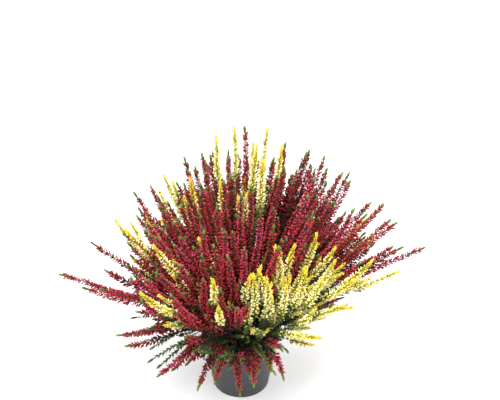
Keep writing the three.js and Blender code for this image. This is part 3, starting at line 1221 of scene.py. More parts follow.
CRIMSON_PETALS = PetalFinish(
    name="crimson_sepals",
    # stalk: near black, partly the bud's own dark stalk and partly painted shade in the spike's core
    stalk=((0.0, (0.014, 0.005, 0.003)), (0.5, (0.06, 0.008, 0.008)), (1.0, (0.16, 0.01, 0.03))),
    body=(
        (0.0, (0.016, 0.002, 0.002)),
        (0.24, (0.14, 0.008, 0.008)),
        (0.45, (0.33, 0.014, 0.016)),
        (0.7, (0.42, 0.008, 0.036)),
        (1.0, (0.56, 0.012, 0.12)),
    ),
    # point: the bud's paler tip; its pale pink at high tones is partly a painted highlight
    point=(
        (0.0, (0.04, 0.004, 0.004)),
        (0.24, (0.27, 0.022, 0.02)),
        (0.45, (0.52, 0.042, 0.05)),
        (0.7, (0.62, 0.035, 0.085)),
        (1.0, (0.8, 0.17, 0.3)),
    ),
)
CREAM_PETALS = PetalFinish(
    name="cream_sepals",
    stalk=((0.0, (0.01, 0.02, 0.004)), (0.45, (0.74, 0.64, 0.05)), (1.0, (0.7, 0.5, 0.015))),
    body=(
        (0.0, (0.016, 0.034, 0.006)),
        (0.2, (0.22, 0.25, 0.035)),
        (0.45, (0.95, 0.86, 0.2)),
        (0.75, (0.93, 0.8, 0.09)),
        (1.0, (0.8, 0.6, 0.03)),
    ),
    point=(
        (0.0, (0.04, 0.075, 0.012)),
        (0.2, (0.45, 0.46, 0.13)),
        (0.45, (1.0, 0.98, 0.8)),
        (0.75, (0.97, 0.86, 0.3)),
        (1.0, (0.84, 0.69, 0.07)),
    ),
)
# Low tones, worn by leaves low on a shoot, run to near black: partly their own dark green, partly
# painted shade inside the plant.
LEAVES = LeafFinish(
    name="scale_leaves",
    root=(
        (0.0, (0.003, 0.005, 0.001)),
        (0.3, (0.014, 0.024, 0.003)),
        (0.45, (0.035, 0.056, 0.006)),
        (0.75, (0.14, 0.2, 0.012)),
        (1.0, (0.66, 0.48, 0.006)),
    ),
    blade=(
        (0.0, (0.005, 0.01, 0.002)),
        (0.3, (0.04, 0.07, 0.01)),
        (0.45, (0.095, 0.15, 0.02)),
        (0.75, (0.28, 0.38, 0.03)),
        (1.0, (0.76, 0.57, 0.03)),
    ),
)
BARK = BarkFinish(
    name="thin_bark",
    wood=((0.0, (0.03, 0.015, 0.009)), (1.0, (0.07, 0.04, 0.02))),
    growth=((0.0, (0.06, 0.025, 0.014)), (0.5, (0.08, 0.09, 0.015)), (1.0, (0.42, 0.36, 0.04))),
)
CRUMBS = LeafFinish(
    name="bark_crumbs",
    root=((0.0, (0.01, 0.006, 0.004)), (1.0, (0.05, 0.028, 0.014))),
    blade=((0.0, (0.02, 0.011, 0.006)), (1.0, (0.11, 0.06, 0.03))),
    roughness=0.9,
)


# ---- What a shoot wears ----


@dataclass(frozen=True)
class BudHabit:
    """How the closed buds of one kind sit on a spike.

    Spreads are degrees away from the stem, and tones run from 0, dark, to 1, pale.
    """

    spacing: float = 0.72
    spread: float = 66.0
    spread_jitter: float = 5.0
    closed_spread: float = 46.0
    turn_jitter: float = 0.5
    taper: float = 12.0
    slimness: float = 0.18
    slimness_jitter: tuple[float, float] = (0.85, 1.15)
    curl: float = -0.5
    point_width: float = 4.4
    point_slope: float = 0.2
    point_length: float = 4.0
    shoulder_slope: float = 0.2
    past_bloom: float = 6.0
    past_swing: float = 0.5
    past_beat: float = 9.0  # so that spikes of different lengths end in different ways
    longest: float = 8.2
    sparsest: float = 0.12
    crowding: float = 2.0
    fullness: tuple[float, float] = (0.8, 1.06)
    sides_pinker: float = 0.4
    front_pinker: float = 0.2
    pinkness: float = -0.14
    own_jitter: float = 0.8
    middle_tone: float = 0.5
    own_share: float = 0.3
    upward_paler: float = 0.1
    # buds low on the spike are darkened: partly a deeper maroon, partly painted shade inside the
    # plant
    foot_maroon_and_painted_shade: float = 0.6
    foot_curve: float = 1.7
    tone_jitter: float = 0.13
    least_tone: float = -1.0
    sides: int = 4
    profile: tuple[tuple[float, float], ...] = ((0, 0), (0.95, 0.5), (0.8, 0.84), (0, 1))

    def stamp(self) -> Stamp:
        """Make one bud on its stalk, pointing up +Z."""
        return Stamp.curled(self.profile, self.sides, self.curl)

    def end_of(self, shoot: Shoot) -> float:
        """Give the length along a shoot at which its buds end."""
        swing = self.past_swing * math.sin(self.past_beat * shoot.length)
        return shoot.bloom_end + self.past_bloom * (1 + swing)

    def room(self, rest: np.ndarray) -> np.ndarray:
        """Give the spike's radius at each length short of its end."""
        past = np.maximum(rest - self.point_length, 0)
        return self.point_width + self.point_slope * rest + self.shoulder_slope * past

    def tones(self, rest: np.ndarray, share: np.ndarray, own: float) -> np.ndarray:
        """Give the tone of each bud, before its own variation: lower buds are darker, partly a deeper
        maroon and partly painted shade inside the plant.

        Args:
            rest: How far short of the spike's end each bud is, which is not used here.
            share: How far up the spike each bud is, from 0 to 1.
            own: The shoot's own tone, from -1 to 1.

        Returns:
            Tones from 0 to 1.
        """
        tone = self.middle_tone + self.own_share * own + self.upward_paler * (share - 0.5)
        # darker towards the spike's foot: a deeper maroon together with painted shade
        return tone - self.foot_maroon_and_painted_shade * (1 - share) ** self.foot_curve

    def crop(self, shoot: Shoot, random: np.random.Generator) -> Crop:
        """Place the buds of one shoot.

        Args:
            shoot: The shoot, which has its line.
            random: The spray's random numbers.

        Returns:
            The buds.
        """
        end = self.end_of(shoot)
        runs = np.arange(shoot.bloom_start, end, self.spacing)
        runs = runs + random.uniform(-0.5, 0.5, len(runs)) * self.spacing
        share = (runs - shoot.bloom_start) / (end - shoot.bloom_start)
        thin = random.uniform(0, 1, len(runs)) < self.sparsest + self.crowding * share
        runs, share = runs[thin], share[thin]
        count = len(runs)
        rest = end - runs
        closing = np.clip(1 - rest / self.taper, 0, 1)
        turn = np.arange(count) * GOLDEN_TURN
        turn = turn + random.uniform(-self.turn_jitter, self.turn_jitter, count)
        spread = self.spread + (self.closed_spread - self.spread) * closing
        spread = np.radians(spread + random.normal(0, self.spread_jitter, count))
        places, directions, across = Path(shoot.line).swung(runs, turn, spread)
        outline = np.array([shoot.radius_at(run) for run in np.minimum(runs, shoot.bloom_end - 1)])
        reach = np.minimum(outline, self.room(rest)) * random.uniform(*self.fullness, count)
        lengths = np.minimum(reach / np.sin(spread), self.longest)
        own = self.pinkness + self.sides_pinker * abs(math.cos(shoot.azimuth))
        own += self.front_pinker * -math.sin(shoot.azimuth)
        own += random.uniform(-self.own_jitter, self.own_jitter)
        tones = self.tones(rest, share, own) + random.normal(0, self.tone_jitter, count)
        widths = self.slimness * lengths * random.uniform(*self.slimness_jitter, count)
        kept = tones > self.least_tone
        rows = (places, directions, across, lengths, widths, np.clip(tones, 0, 1))
        return Crop(*(row[kept] for row in rows))


@dataclass(frozen=True)
class CreamHabit(BudHabit):
    """Buds that are green low on the spike, then cream, and packed in a golden point."""

    slimness: float = 0.17
    tone_jitter: float = 0.05
    spread: float = 60.0
    closed_spread: float = 28.0
    taper: float = 14.0
    point_width: float = 2.3
    point_slope: float = 0.06
    point_length: float = 11.0
    shoulder_slope: float = 0.36
    fullness: tuple[float, float] = (0.9, 1.18)
    sparsest: float = 0.05
    short_of_tip: float = 1.5
    golden: tuple[float, float] = (8.0, 26.0)  # lengths short of the tip, between which gold fades
    greening: tuple[float, float] = (48.0, 66.0)  # and between which green comes in
    full_spike: float = 95.0
    scales: tuple[float, float] = (0.35, 1.15)  # of those lengths, on short and long spikes
    own_scale: float = 0.15
    middle_tone: float = 0.46
    own_share: float = 0.03
    least_tone: float = 0.14

    def end_of(self, shoot: Shoot) -> float:
        """Give the length along a shoot at which its buds end, which is near its tip."""
        return shoot.length - self.short_of_tip

    def tones(self, rest: np.ndarray, share: np.ndarray, own: float) -> np.ndarray:
        """Give the tone of each bud: green, cream and golden from the foot of the spike up.

        Args:
            rest: How far short of the spike's end each bud is.
            share: How far up the spike each bud is, from 0 to 1.
            own: The shoot's own tone, from -1 to 1.

        Returns:
            Tones from 0 to 1.
        """
        whole = rest / np.maximum(1 - share, 1e-3)
        scale = np.clip(whole / self.full_spike, *self.scales) * (1 + self.own_scale * own)
        full, none = self.golden
        golden = np.clip((none * scale - rest) / (none - full), 0, 1)
        low, high = self.greening
        green = np.clip((rest - low * scale) / (high - low), 0, 1)
        tone = self.middle_tone + (1 - self.middle_tone) * golden - self.middle_tone * green
        return tone + self.own_share * own


@dataclass(frozen=True)
class LeafTone:
    """The tone of a shoot's leaves: at its foot, what it gains to the tip, and its own share. The
    dark foot is partly painted shade inside the plant.
    """

    foot: float
    gain: float
    own: float


@dataclass(frozen=True)
class Knob:
    """The round knob of closed leaves in which a shoot ends."""

    length: float = 7.0
    length_jitter: tuple[float, float] = (0.85, 1.3)
    cream_longer: float = 1.2
    radius: float = 2.0
    radius_jitter: tuple[float, float] = (0.75, 1.1)
    past_tip: float = 1.4
    tones: tuple[float, float] = (0.34, 0.58)
    cream_tone: float = 1.0
    leaf_spread: float = 36.0
    leaf_length: float = 4.4
    leaf_least: float = 0.6  # share of that length at the very tip
    leaf_gain: float = 0.08
    leaf_reach: float = 5.0
    leaf_slimness: float = 0.4
    sides: int = 6
    profile: tuple[tuple[float, float], ...] = ((0, 0), (0.8, 0.16), (1, 0.5), (0.74, 0.84), (0, 1))

    def stamp(self) -> Stamp:
        """Make the knob, pointing up +Z."""
        return Stamp.curled(self.profile, self.sides, curl=0.0)

    def leaf_lengths(self, rest: np.ndarray) -> np.ndarray:
        """Give the length of the leaves on the knob, by how far short of the tip they are."""
        growth = self.leaf_least + self.leaf_gain * np.minimum(rest, self.leaf_reach)
        return self.leaf_length * growth

    def crop(self, shoot: Shoot, random: np.random.Generator) -> Crop:
        """Place the knob of one shoot.

        Args:
            shoot: The shoot, which has its line.
            random: The spray's random numbers.

        Returns:
            A crop of one.
        """
        is_cream = shoot.kind is Kind.CREAM
        length = self.length * random.uniform(*self.length_jitter)
        length *= self.cream_longer if is_cream else 1.0
        start = shoot.length + self.past_tip - length
        places, along, side, _ = Path(shoot.line).at(np.array([start]))
        radius = self.radius * random.uniform(*self.radius_jitter)
        tone = self.cream_tone if is_cream else random.uniform(*self.tones)
        return Crop(places, along, side, np.array([length]), np.array([radius]), np.array([tone]))


@dataclass(frozen=True)
class LeafHabit:
    """How scale leaves sit on a shoot: crossed pairs, closed at the tip.

    Spreads are degrees away from the stem, and tones run from 0, dark green, to 1, gold.
    """

    first: float = 13.0
    first_part: float = 9.0  # a short shoot's first pair is one part in this many up it
    pair_step: float = 2.2
    step_jitter: float = 0.3
    turn_jitter: float = 0.22
    spread: float = 55.0
    spread_jitter: float = 6.0
    closed_spread: float = 30.0
    taper: float = 6.0
    slimness: float = 0.24
    curl: float = -0.7
    leafy_step: float = 3.0
    leafy_spread: float = 62.0
    leafy_widest: float = 5.6
    into_bloom: float = 14.0
    into_cream: float = 38.0
    back_from_tip: float = 5.0
    bloom_thinning: int = 4
    shortest: float = 2.0
    longest: float = 6.4
    narrowest: float = 2.4
    widening: float = 18.0  # length in which the leaves' outline gains a millimetre
    widest: float = 4.5
    past_buds: float = 2.0
    tip_share: float = 0.65  # of the widest outline, past the buds
    length_jitter: tuple[float, float] = (0.85, 1.1)
    tone_jitter: float = 0.06
    # dark foot tones are partly the leaves' own darker colour and partly painted shade inside the
    # plant
    crimson_tone: LeafTone = LeafTone(0.03, 0.3, 0.08)
    leafy_tone: LeafTone = LeafTone(0.14, 0.5, 0.12)
    cream_tone: LeafTone = LeafTone(0.06, 0.3, 0.06)
    tip_paler: float = 0.16
    lime: tuple[float, float] = (74.0, 50.0)  # lengths short of the tip, from none to full
    lime_gain: float = 0.42
    golden: tuple[float, float] = (20.0, 10.0)
    golden_gain: float = 0.18
    profile: tuple[tuple[float, float], ...] = ((1.0, 0.1), (0, 1))

    def stamp(self) -> Stamp:
        """Make one leaf, pointing up +Z."""
        return Stamp.curled(self.profile, 3, self.curl)

    def tones(self, shoot: Shoot, runs: np.ndarray, own: float) -> np.ndarray:
        """Give the tone of each leaf, from dark green through lime to gold. Leaves low on a shoot are
        darker, partly their own colour and partly painted shade inside the plant.

        Args:
            shoot: The shoot.
            runs: The length along it of each leaf.
            own: The shoot's own tone, from -1 to 1.

        Returns:
            Tones from 0 to 1, before each leaf's own variation.
        """
        kinds = {Kind.CRIMSON: self.crimson_tone, Kind.LEAFY: self.leafy_tone}
        tone = kinds.get(shoot.kind, self.cream_tone)
        # darker towards the shoot's foot: partly painted shade inside the plant
        tones = tone.foot + tone.gain * (runs / shoot.length) + tone.own * own
        if shoot.kind is Kind.CRIMSON:
            tones += self.tip_paler * (runs > shoot.bloom_end)
        if shoot.kind is Kind.CREAM:
            gains = ((self.lime, self.lime_gain), (self.golden, self.golden_gain))
            for (none, full), gain in gains:
                tones += gain * np.clip((runs - shoot.length + none) / (none - full), 0, 1)
        return tones

    def pairs_of(self, shoot: Shoot) -> tuple[np.ndarray, np.ndarray]:
        """Give the pairs of leaves on one shoot, which are few among its buds.

        Args:
            shoot: The shoot.

        Returns:
            The length along the shoot of each pair, and its turn in radians.
        """
        is_leafy = shoot.kind is Kind.LEAFY
        step = self.leafy_step if is_leafy else self.pair_step
        first = min(self.first, shoot.length / self.first_part)
        pairs = np.arange(first, shoot.length, step)
        pairs = np.append(pairs, pairs[pairs > shoot.bloom_end] + self.pair_step / 2)
        into = self.into_cream if shoot.kind is Kind.CREAM else self.into_bloom
        leafy = pairs < shoot.bloom_start + into
        leafy |= pairs > shoot.bloom_end - self.back_from_tip
        leafy |= is_leafy | (np.arange(len(pairs)) % self.bloom_thinning == 0)
        return pairs[leafy], (np.arange(len(pairs)) * math.pi / 2)[leafy]

    def crop(self, shoot: Shoot, knob: Knob, random: np.random.Generator) -> Crop:
        """Place the leaves of one shoot.

        Args:
            shoot: The shoot, which has its line.
            knob: The knob in which it ends.
            random: The spray's random numbers.

        Returns:
            The leaves.
        """
        is_leafy = shoot.kind is Kind.LEAFY
        pairs, turns = self.pairs_of(shoot)
        runs = np.repeat(pairs, 2)
        turn = np.repeat(turns, 2) + np.tile([0.0, math.pi], len(pairs))
        count = len(runs)
        runs = runs + random.uniform(-self.step_jitter, self.step_jitter, count)
        runs = np.clip(runs, 0, shoot.length)
        turn = turn + random.normal(0, self.turn_jitter, count)
        rest = shoot.length - runs
        closing = np.clip(1 - rest / self.taper, 0, 1)
        open_spread = self.leafy_spread if is_leafy else self.spread
        spread = open_spread + (self.closed_spread - open_spread) * closing
        on_knob = (rest < knob.length) & (shoot.kind is not Kind.CREAM)
        spread = np.where(on_knob, knob.leaf_spread, spread)
        spread = np.radians(spread + random.normal(0, self.spread_jitter, count))
        places, directions, across = Path(shoot.line).swung(runs, turn, spread)
        widest = self.leafy_widest if is_leafy else self.widest
        outline = np.minimum(widest, self.narrowest + runs / self.widening)
        at_tip = runs > shoot.bloom_end + self.past_buds
        outline = np.where(at_tip, self.tip_share * self.widest, outline)
        lengths = np.clip(outline / np.sin(spread), self.shortest, self.longest)
        lengths = np.where(on_knob, knob.leaf_lengths(rest), lengths)
        lengths *= random.uniform(*self.length_jitter, count)
        widths = np.where(on_knob, knob.leaf_slimness, self.slimness) * lengths
        own = random.uniform(-1, 1)
        tones = self.tones(shoot, runs, own) + random.normal(0, self.tone_jitter, count)
        return Crop(places, directions, across, lengths, widths, np.clip(tones, 0, 1))


@dataclass(frozen=True)
class StemHabit:
    """The bark stems of a spray: a woody foot in the peat, and a thin stem for each shoot."""

    foot_radius: float = 1.4
    tip_radius: float = 0.42
    full_length: float = 250.0
    depth: float = 18.5
    above_fork: float = 1.5
    stride: float = 10.0
    woody_shares: tuple[float, ...] = (0.7, 0.85, 1, 1, 0.7)  # of the woody foot's radius
    woody_tone: float = 0.2
    crimson_tone: float = 0.25
    leafy_tone: float = 0.6
    cream_tone: float = 0.95

    def tubes(self, spray: Spray) -> Iterator[tuple[np.ndarray, np.ndarray, float]]:
        """Trace the stems of a spray, its woody foot first.

        Args:
            spray: The spray.

        Yields:
            Each tube's points, radii and tone.
        """
        low = spray.foot - (0.0, 0.0, self.depth)
        high = spray.fork + (0.0, 0.0, self.above_fork)
        steps = np.linspace(0, 1, len(self.woody_shares))[:, None]
        radii = FORM.woody_radius * np.array(self.woody_shares)
        yield low + steps * (high - low), radii, self.woody_tone
        kinds = {Kind.CRIMSON: self.crimson_tone, Kind.LEAFY: self.leafy_tone}
        for shoot in spray.members:
            runs = np.append(np.arange(0, shoot.length - self.stride / 2, self.stride), shoot.length)
            points = Path(shoot.line).at(runs)[0]
            thicker = (self.foot_radius - self.tip_radius) * shoot.length / self.full_length
            radii = self.tip_radius + thicker * (1 - np.sqrt(runs / shoot.length))
            yield points, radii, kinds.get(shoot.kind, self.cream_tone)

    def add_to(self, growth: Growth, spray: Spray, slot: int) -> None:
        """Add the stems as bevelled curves turned to mesh.

        Args:
            growth: The mesh in the making.
            spray: The spray.
            slot: The material's place on the mesh.
        """
        curve = bpy.data.curves.new("stems", "CURVE")
        curve.dimensions = "3D"
        curve.bevel_depth = 1.0
        curve.bevel_resolution = 0
        tones, shares = [], []
        for points, radii, tone in self.tubes(spray):
            spline = curve.splines.new("POLY")
            spline.points.add(len(points) - 1)
            weighted = np.concatenate([points, np.ones((len(points), 1))], axis=1)
            spline.points.foreach_set("co", weighted.ravel())
            spline.points.foreach_set("radius", radii)
            shares.append(np.linspace(0, 1, len(points)))
            tones.append(np.full(len(points), tone))
        holder = bpy.data.objects.new("stems", curve)
        mesh = bpy.data.meshes.new_from_object(holder)
        rings = sum(map(len, shares))
        sides = len(mesh.vertices) // rings
        shape = bmesh.new()
        shape.from_mesh(mesh)
        bmesh.ops.holes_fill(shape, edges=shape.edges, sides=sides)
        spots, faces = taken(shape)
        turn = np.tile(np.abs(2 * np.arange(sides) / sides - 1), rings)
        along = np.repeat(np.concatenate(shares), sides)
        marks = Palette.place(np.repeat(np.concatenate(tones), sides), turn, along)
        growth.add(spots, marks, [np.array(faces)], slot)
        bpy.data.objects.remove(holder)
        bpy.data.curves.remove(curve)
        bpy.data.meshes.remove(mesh)


LOW_LENGTH = 165.0  # below which a shoot is a low one
FRONT_REACH = 0.1  # sine of the azimuth, below which a shoot is in front


class Place(Enum):
    """Where on the plant a shoot stands."""

    LOW = "low"
    FRONT = "front"
    FRONT_CREAM = "front cream"
    BACK = "back"
    BACK_CREAM = "back cream"

    @staticmethod
    def of(shoot: Shoot) -> "Place":
        """Give the place of a shoot: short ones are low on the plant.

        Args:
            shoot: The shoot.

        Returns:
            Its place.
        """
        if shoot.length < LOW_LENGTH:
            return Place.LOW
        if math.sin(shoot.azimuth) < FRONT_REACH:
            return Place.FRONT_CREAM if shoot.kind is Kind.CREAM else Place.FRONT
        return Place.BACK_CREAM if shoot.kind is Kind.CREAM else Place.BACK


@dataclass(frozen=True)
class SideHabit:
    """How side shoots leave a main shoot, run beside it and end below its tip.

    Their kind is the main shoot's own, unless another is given.
    """

    number: float = 1.5
    start: tuple[float, float] = (0.3, 0.46)
    end: tuple[float, float] = (0.66, 0.9)
    away: tuple[float, float] = (12.0, 22.0)
    away_at_foot: float = 0.6  # share of that distance, which grows to all of it at the tip
    part_length: float = 60.0
    bare: tuple[float, float] = (0.16, 0.3)
    wobble: float = 1.6
    wave: tuple[float, float] = (15.0, 30.0)  # length in which a wobble turns by a radian
    phase: tuple[float, float] = (0.0, 6.3)
    kind: Kind | None = None

    def bent(self, line: np.ndarray, random: np.random.Generator) -> np.ndarray:
        """Bend a line a little to and fro, more towards its tip.

        Args:
            line: The line's points, a stride apart.
            random: The spray's random numbers.

        Returns:
            The bent line's points.
        """
        runs = np.arange(len(line))[:, None] * FORM.stride
        turns = runs / random.uniform(*self.wave, (1, 3)) + random.uniform(*self.phase, (1, 3))
        return line + self.wobble * (runs / runs[-1]) * np.sin(turns)

    def sides_of(self, shoot: Shoot, random: np.random.Generator) -> Iterator[Shoot]:
        """Give the side shoots of one shoot.

        Args:
            shoot: The shoot, which has its line.
            random: The spray's random numbers.

        Yields:
            Each side shoot, with its line.
        """
        turn = random.uniform(0, 2 * math.pi)
        for _ in range(int(self.number + random.uniform())):
            start = random.uniform(*self.start) * shoot.length
            length = random.uniform(*self.end) * shoot.length - start
            steps = np.arange(int(length / FORM.stride) + 2) * FORM.stride
            places, _, side, other = Path(shoot.line).at(start + steps)
            across = math.cos(turn) * side + math.sin(turn) * other
            share = np.clip(steps / min(self.part_length, length), 0, 1)
            away = random.uniform(*self.away) * share * (2 - share)
            away = away * (self.away_at_foot + (1 - self.away_at_foot) * steps / length)
            yield replace(
                shoot,
                kind=self.kind or shoot.kind,
                length=length,
                bare=random.uniform(*self.bare),
                sway=0,
                upturn=0,
                line=self.bent(places + away[:, None] * across, random),
            )
            turn += GOLDEN_TURN


@dataclass
class SprayDresser:
    """Dresses sprays: a piece of buds, and a piece of stems and leaves, for each CAD node."""

    buds: dict[Kind, BudHabit] = field(
        default_factory=lambda: {
            Kind.CRIMSON: BudHabit(),
            Kind.CREAM: CreamHabit(),
        }
    )
    leaves: LeafHabit = LeafHabit()
    knob: Knob = Knob()
    stems: StemHabit = StemHabit()
    sides: dict[Place, SideHabit] = field(
        default_factory=lambda: {
            Place.FRONT: SideHabit(number=2.5, end=(0.55, 0.92)),
            Place.FRONT_CREAM: SideHabit(number=3.3, end=(0.55, 0.92), away=(12.0, 25.0)),
            Place.BACK: SideHabit(number=2.5, end=(0.7, 0.96), away=(14.0, 25.0)),
            Place.BACK_CREAM: SideHabit(number=5.2, end=(0.68, 0.97), away=(14.0, 38.0)),
            Place.LOW: SideHabit(number=2.4, start=(0.12, 0.3), end=(0.6, 0.95), away=(9.0, 20.0)),
        }
    )
    leafy: SideHabit = SideHabit(
        number=1.7, start=(0.12, 0.3), end=(0.4, 0.74), away=(10.0, 26.0), kind=Kind.LEAFY
    )
    seed: int = 611

    def build(self, sprays: Sequence[Spray]) -> None:
        """Make and dress the pieces of every spray.

        Args:
            sprays: The sprays, which gain the side shoots of their shoots.
        """
        petals = {Kind.CRIMSON: CRIMSON_PETALS.material(), Kind.CREAM: CREAM_PETALS.material()}
        slots = {Kind.CRIMSON: "crimson_buds", Kind.CREAM: "cream_buds"}
        greens = [LEAVES.material(), BARK.material()]
        stamps = {kind: habit.stamp() for kind, habit in self.buds.items()}
        leaf, knob = self.leaves.stamp(), self.knob.stamp()
        for number, spray in enumerate(sprays):
            random = np.random.default_rng(self.seed + number)
            for shoot in list(spray.members):
                habit = self.sides[Place.of(shoot)]
                shoot.line = habit.bent(shoot.line, random)
                spray.members.extend(habit.sides_of(shoot, random))
                spray.members.extend(self.leafy.sides_of(shoot, random))
            if spray.kind in self.buds:
                spikes = Growth()
                for shoot in (member for member in spray.members if member.kind is spray.kind):
                    crop = self.buds[spray.kind].crop(shoot, random)
                    spikes.add_crop(stamps[spray.kind], crop, 0)
                piece = spikes.mesh(f"{spray.name}_buds", [petals[spray.kind]])
                settle(piece, slots[spray.kind], spray.name)
            greenery = Growth()
            for shoot in spray.members:
                greenery.add_crop(leaf, self.leaves.crop(shoot, self.knob, random), 0)
                greenery.add_crop(knob, self.knob.crop(shoot, random), 0)
            self.stems.add_to(greenery, spray, 1)
            settle(greenery.mesh(f"{spray.name}_leaves", greens), "foliage", spray.name)


def settle(piece: bpy.types.Object, slot: str, *nodes: str) -> None:
    """Let a piece ride on the part and stand for its CAD nodes.

    Args:
        piece: The piece.
        slot: The material slot, which is not used.
        nodes: The CAD nodes that it replaces, if any.
    """
    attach(piece, BODY)
    if nodes:
        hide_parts(*nodes)
    piece.data.calc_loop_triangles()
    LOG.info("%s: %d triangles", piece.name, len(piece.data.loop_triangles))


# ---- Pot and peat ----


@dataclass(frozen=True)
class Pot:
    """The round nursery pot: tapered wall, rim band, foot ring, hub and drain holes."""

    height: float = 90.0
    rim_radius: float = 55.0
    band_height: float = 11.0
    rim_step: float = 1.6
    foot_radius: float = 40.0
    wall: float = 1.4
    floor_top: float = 4.0
    floor_lift: float = 2.0
    foot_ring: float = 5.0
    hub_radius: float = 11.0
    foot_slope: float = 1.0
    sides: int = 120
    edge_round: float = 0.45
    sharp_edge: float = 0.35  # radians between faces, past which an edge is rounded
    crease: float = 40.0  # degrees between faces, past which the shading breaks
    drain_holes: int = 6
    drain_radius: float = 4.5
    drain_circle: float = 23.0
    drain_sides: int = 24

    def wall_radius(self, height: float) -> float:
        """Give the wall's outer radius at a height, below the rim band."""
        top = self.rim_radius - self.rim_step
        return self.foot_radius + (top - self.foot_radius) * height / self.height

    def profile(self) -> list[tuple[float, float]]:
        """Give the closed outline of half a section, from the middle of the hub round.

        Returns:
            Points of radius and height.
        """
        band_foot = self.height - self.band_height
        inner_foot = self.foot_radius - self.foot_ring
        return [
            (0.0, 0.0),
            (self.hub_radius, 0.0),
            (self.hub_radius + self.foot_slope, self.floor_lift),
            (inner_foot - self.foot_slope, self.floor_lift),
            (inner_foot, 0.0),
            (self.foot_radius, 0.0),
            (self.wall_radius(band_foot), band_foot),
            (self.rim_radius, band_foot),
            (self.rim_radius, self.height),
            (self.rim_radius - self.wall - self.rim_step, self.height),
            (self.wall_radius(band_foot) - self.wall, band_foot),
            (self.wall_radius(self.floor_top) - self.wall, self.floor_top),
            (0.0, self.floor_top),
        ]

    def build(self) -> None:
        """Make the pot, drill its drain holes and dress it."""
        shape = turned(self.profile(), self.sides)
        sharp = [e for e in shape.edges if e.is_manifold and e.calc_face_angle() > self.sharp_edge]
        bmesh.ops.bevel(
            shape,
            geom=sharp,
            offset=self.edge_round,
            segments=2,
            profile=0.5,
            affect="EDGES",
            material=-1,
            clamp_overlap=True,
        )
        piece = cast("pot_shell", shape)
        self.drill(piece)
        piece.data.shade_smooth()
        piece.data.set_sharp_from_angle(angle=math.radians(self.crease))
        piece.data.materials.append(PotFinish().material())
        settle(piece, "pot", "pot")

    def drill(self, piece: bpy.types.Object) -> None:
        """Cut the drain holes through the floor.

        Args:
            piece: The pot, whose mesh is replaced by the drilled one.
        """
        drills = bmesh.new()
        for n in range(self.drain_holes):
            angle = 2 * math.pi * n / self.drain_holes
            x, y = self.drain_circle * math.cos(angle), self.drain_circle * math.sin(angle)
            bmesh.ops.create_cone(
                drills,
                cap_ends=True,
                segments=self.drain_sides,
                radius1=self.drain_radius,
                radius2=self.drain_radius,
                depth=3 * self.floor_top,
                matrix=Matrix.Translation((x, y, self.floor_top)),
            )
        cutter = cast("drills", drills)
        cut = piece.modifiers.new("drain", "BOOLEAN")
        cut.operation = "DIFFERENCE"
        cut.solver = "EXACT"
        cut.object = cutter
        graph = bpy.context.evaluated_depsgraph_get()
        drilled = bpy.data.meshes.new_from_object(piece.evaluated_get(graph))
        piece.modifiers.clear()
        spent = (piece.data, cutter.data)
        piece.data = drilled
        bpy.data.objects.remove(cutter)
        for mesh in spent:
            bpy.data.meshes.remove(mesh)


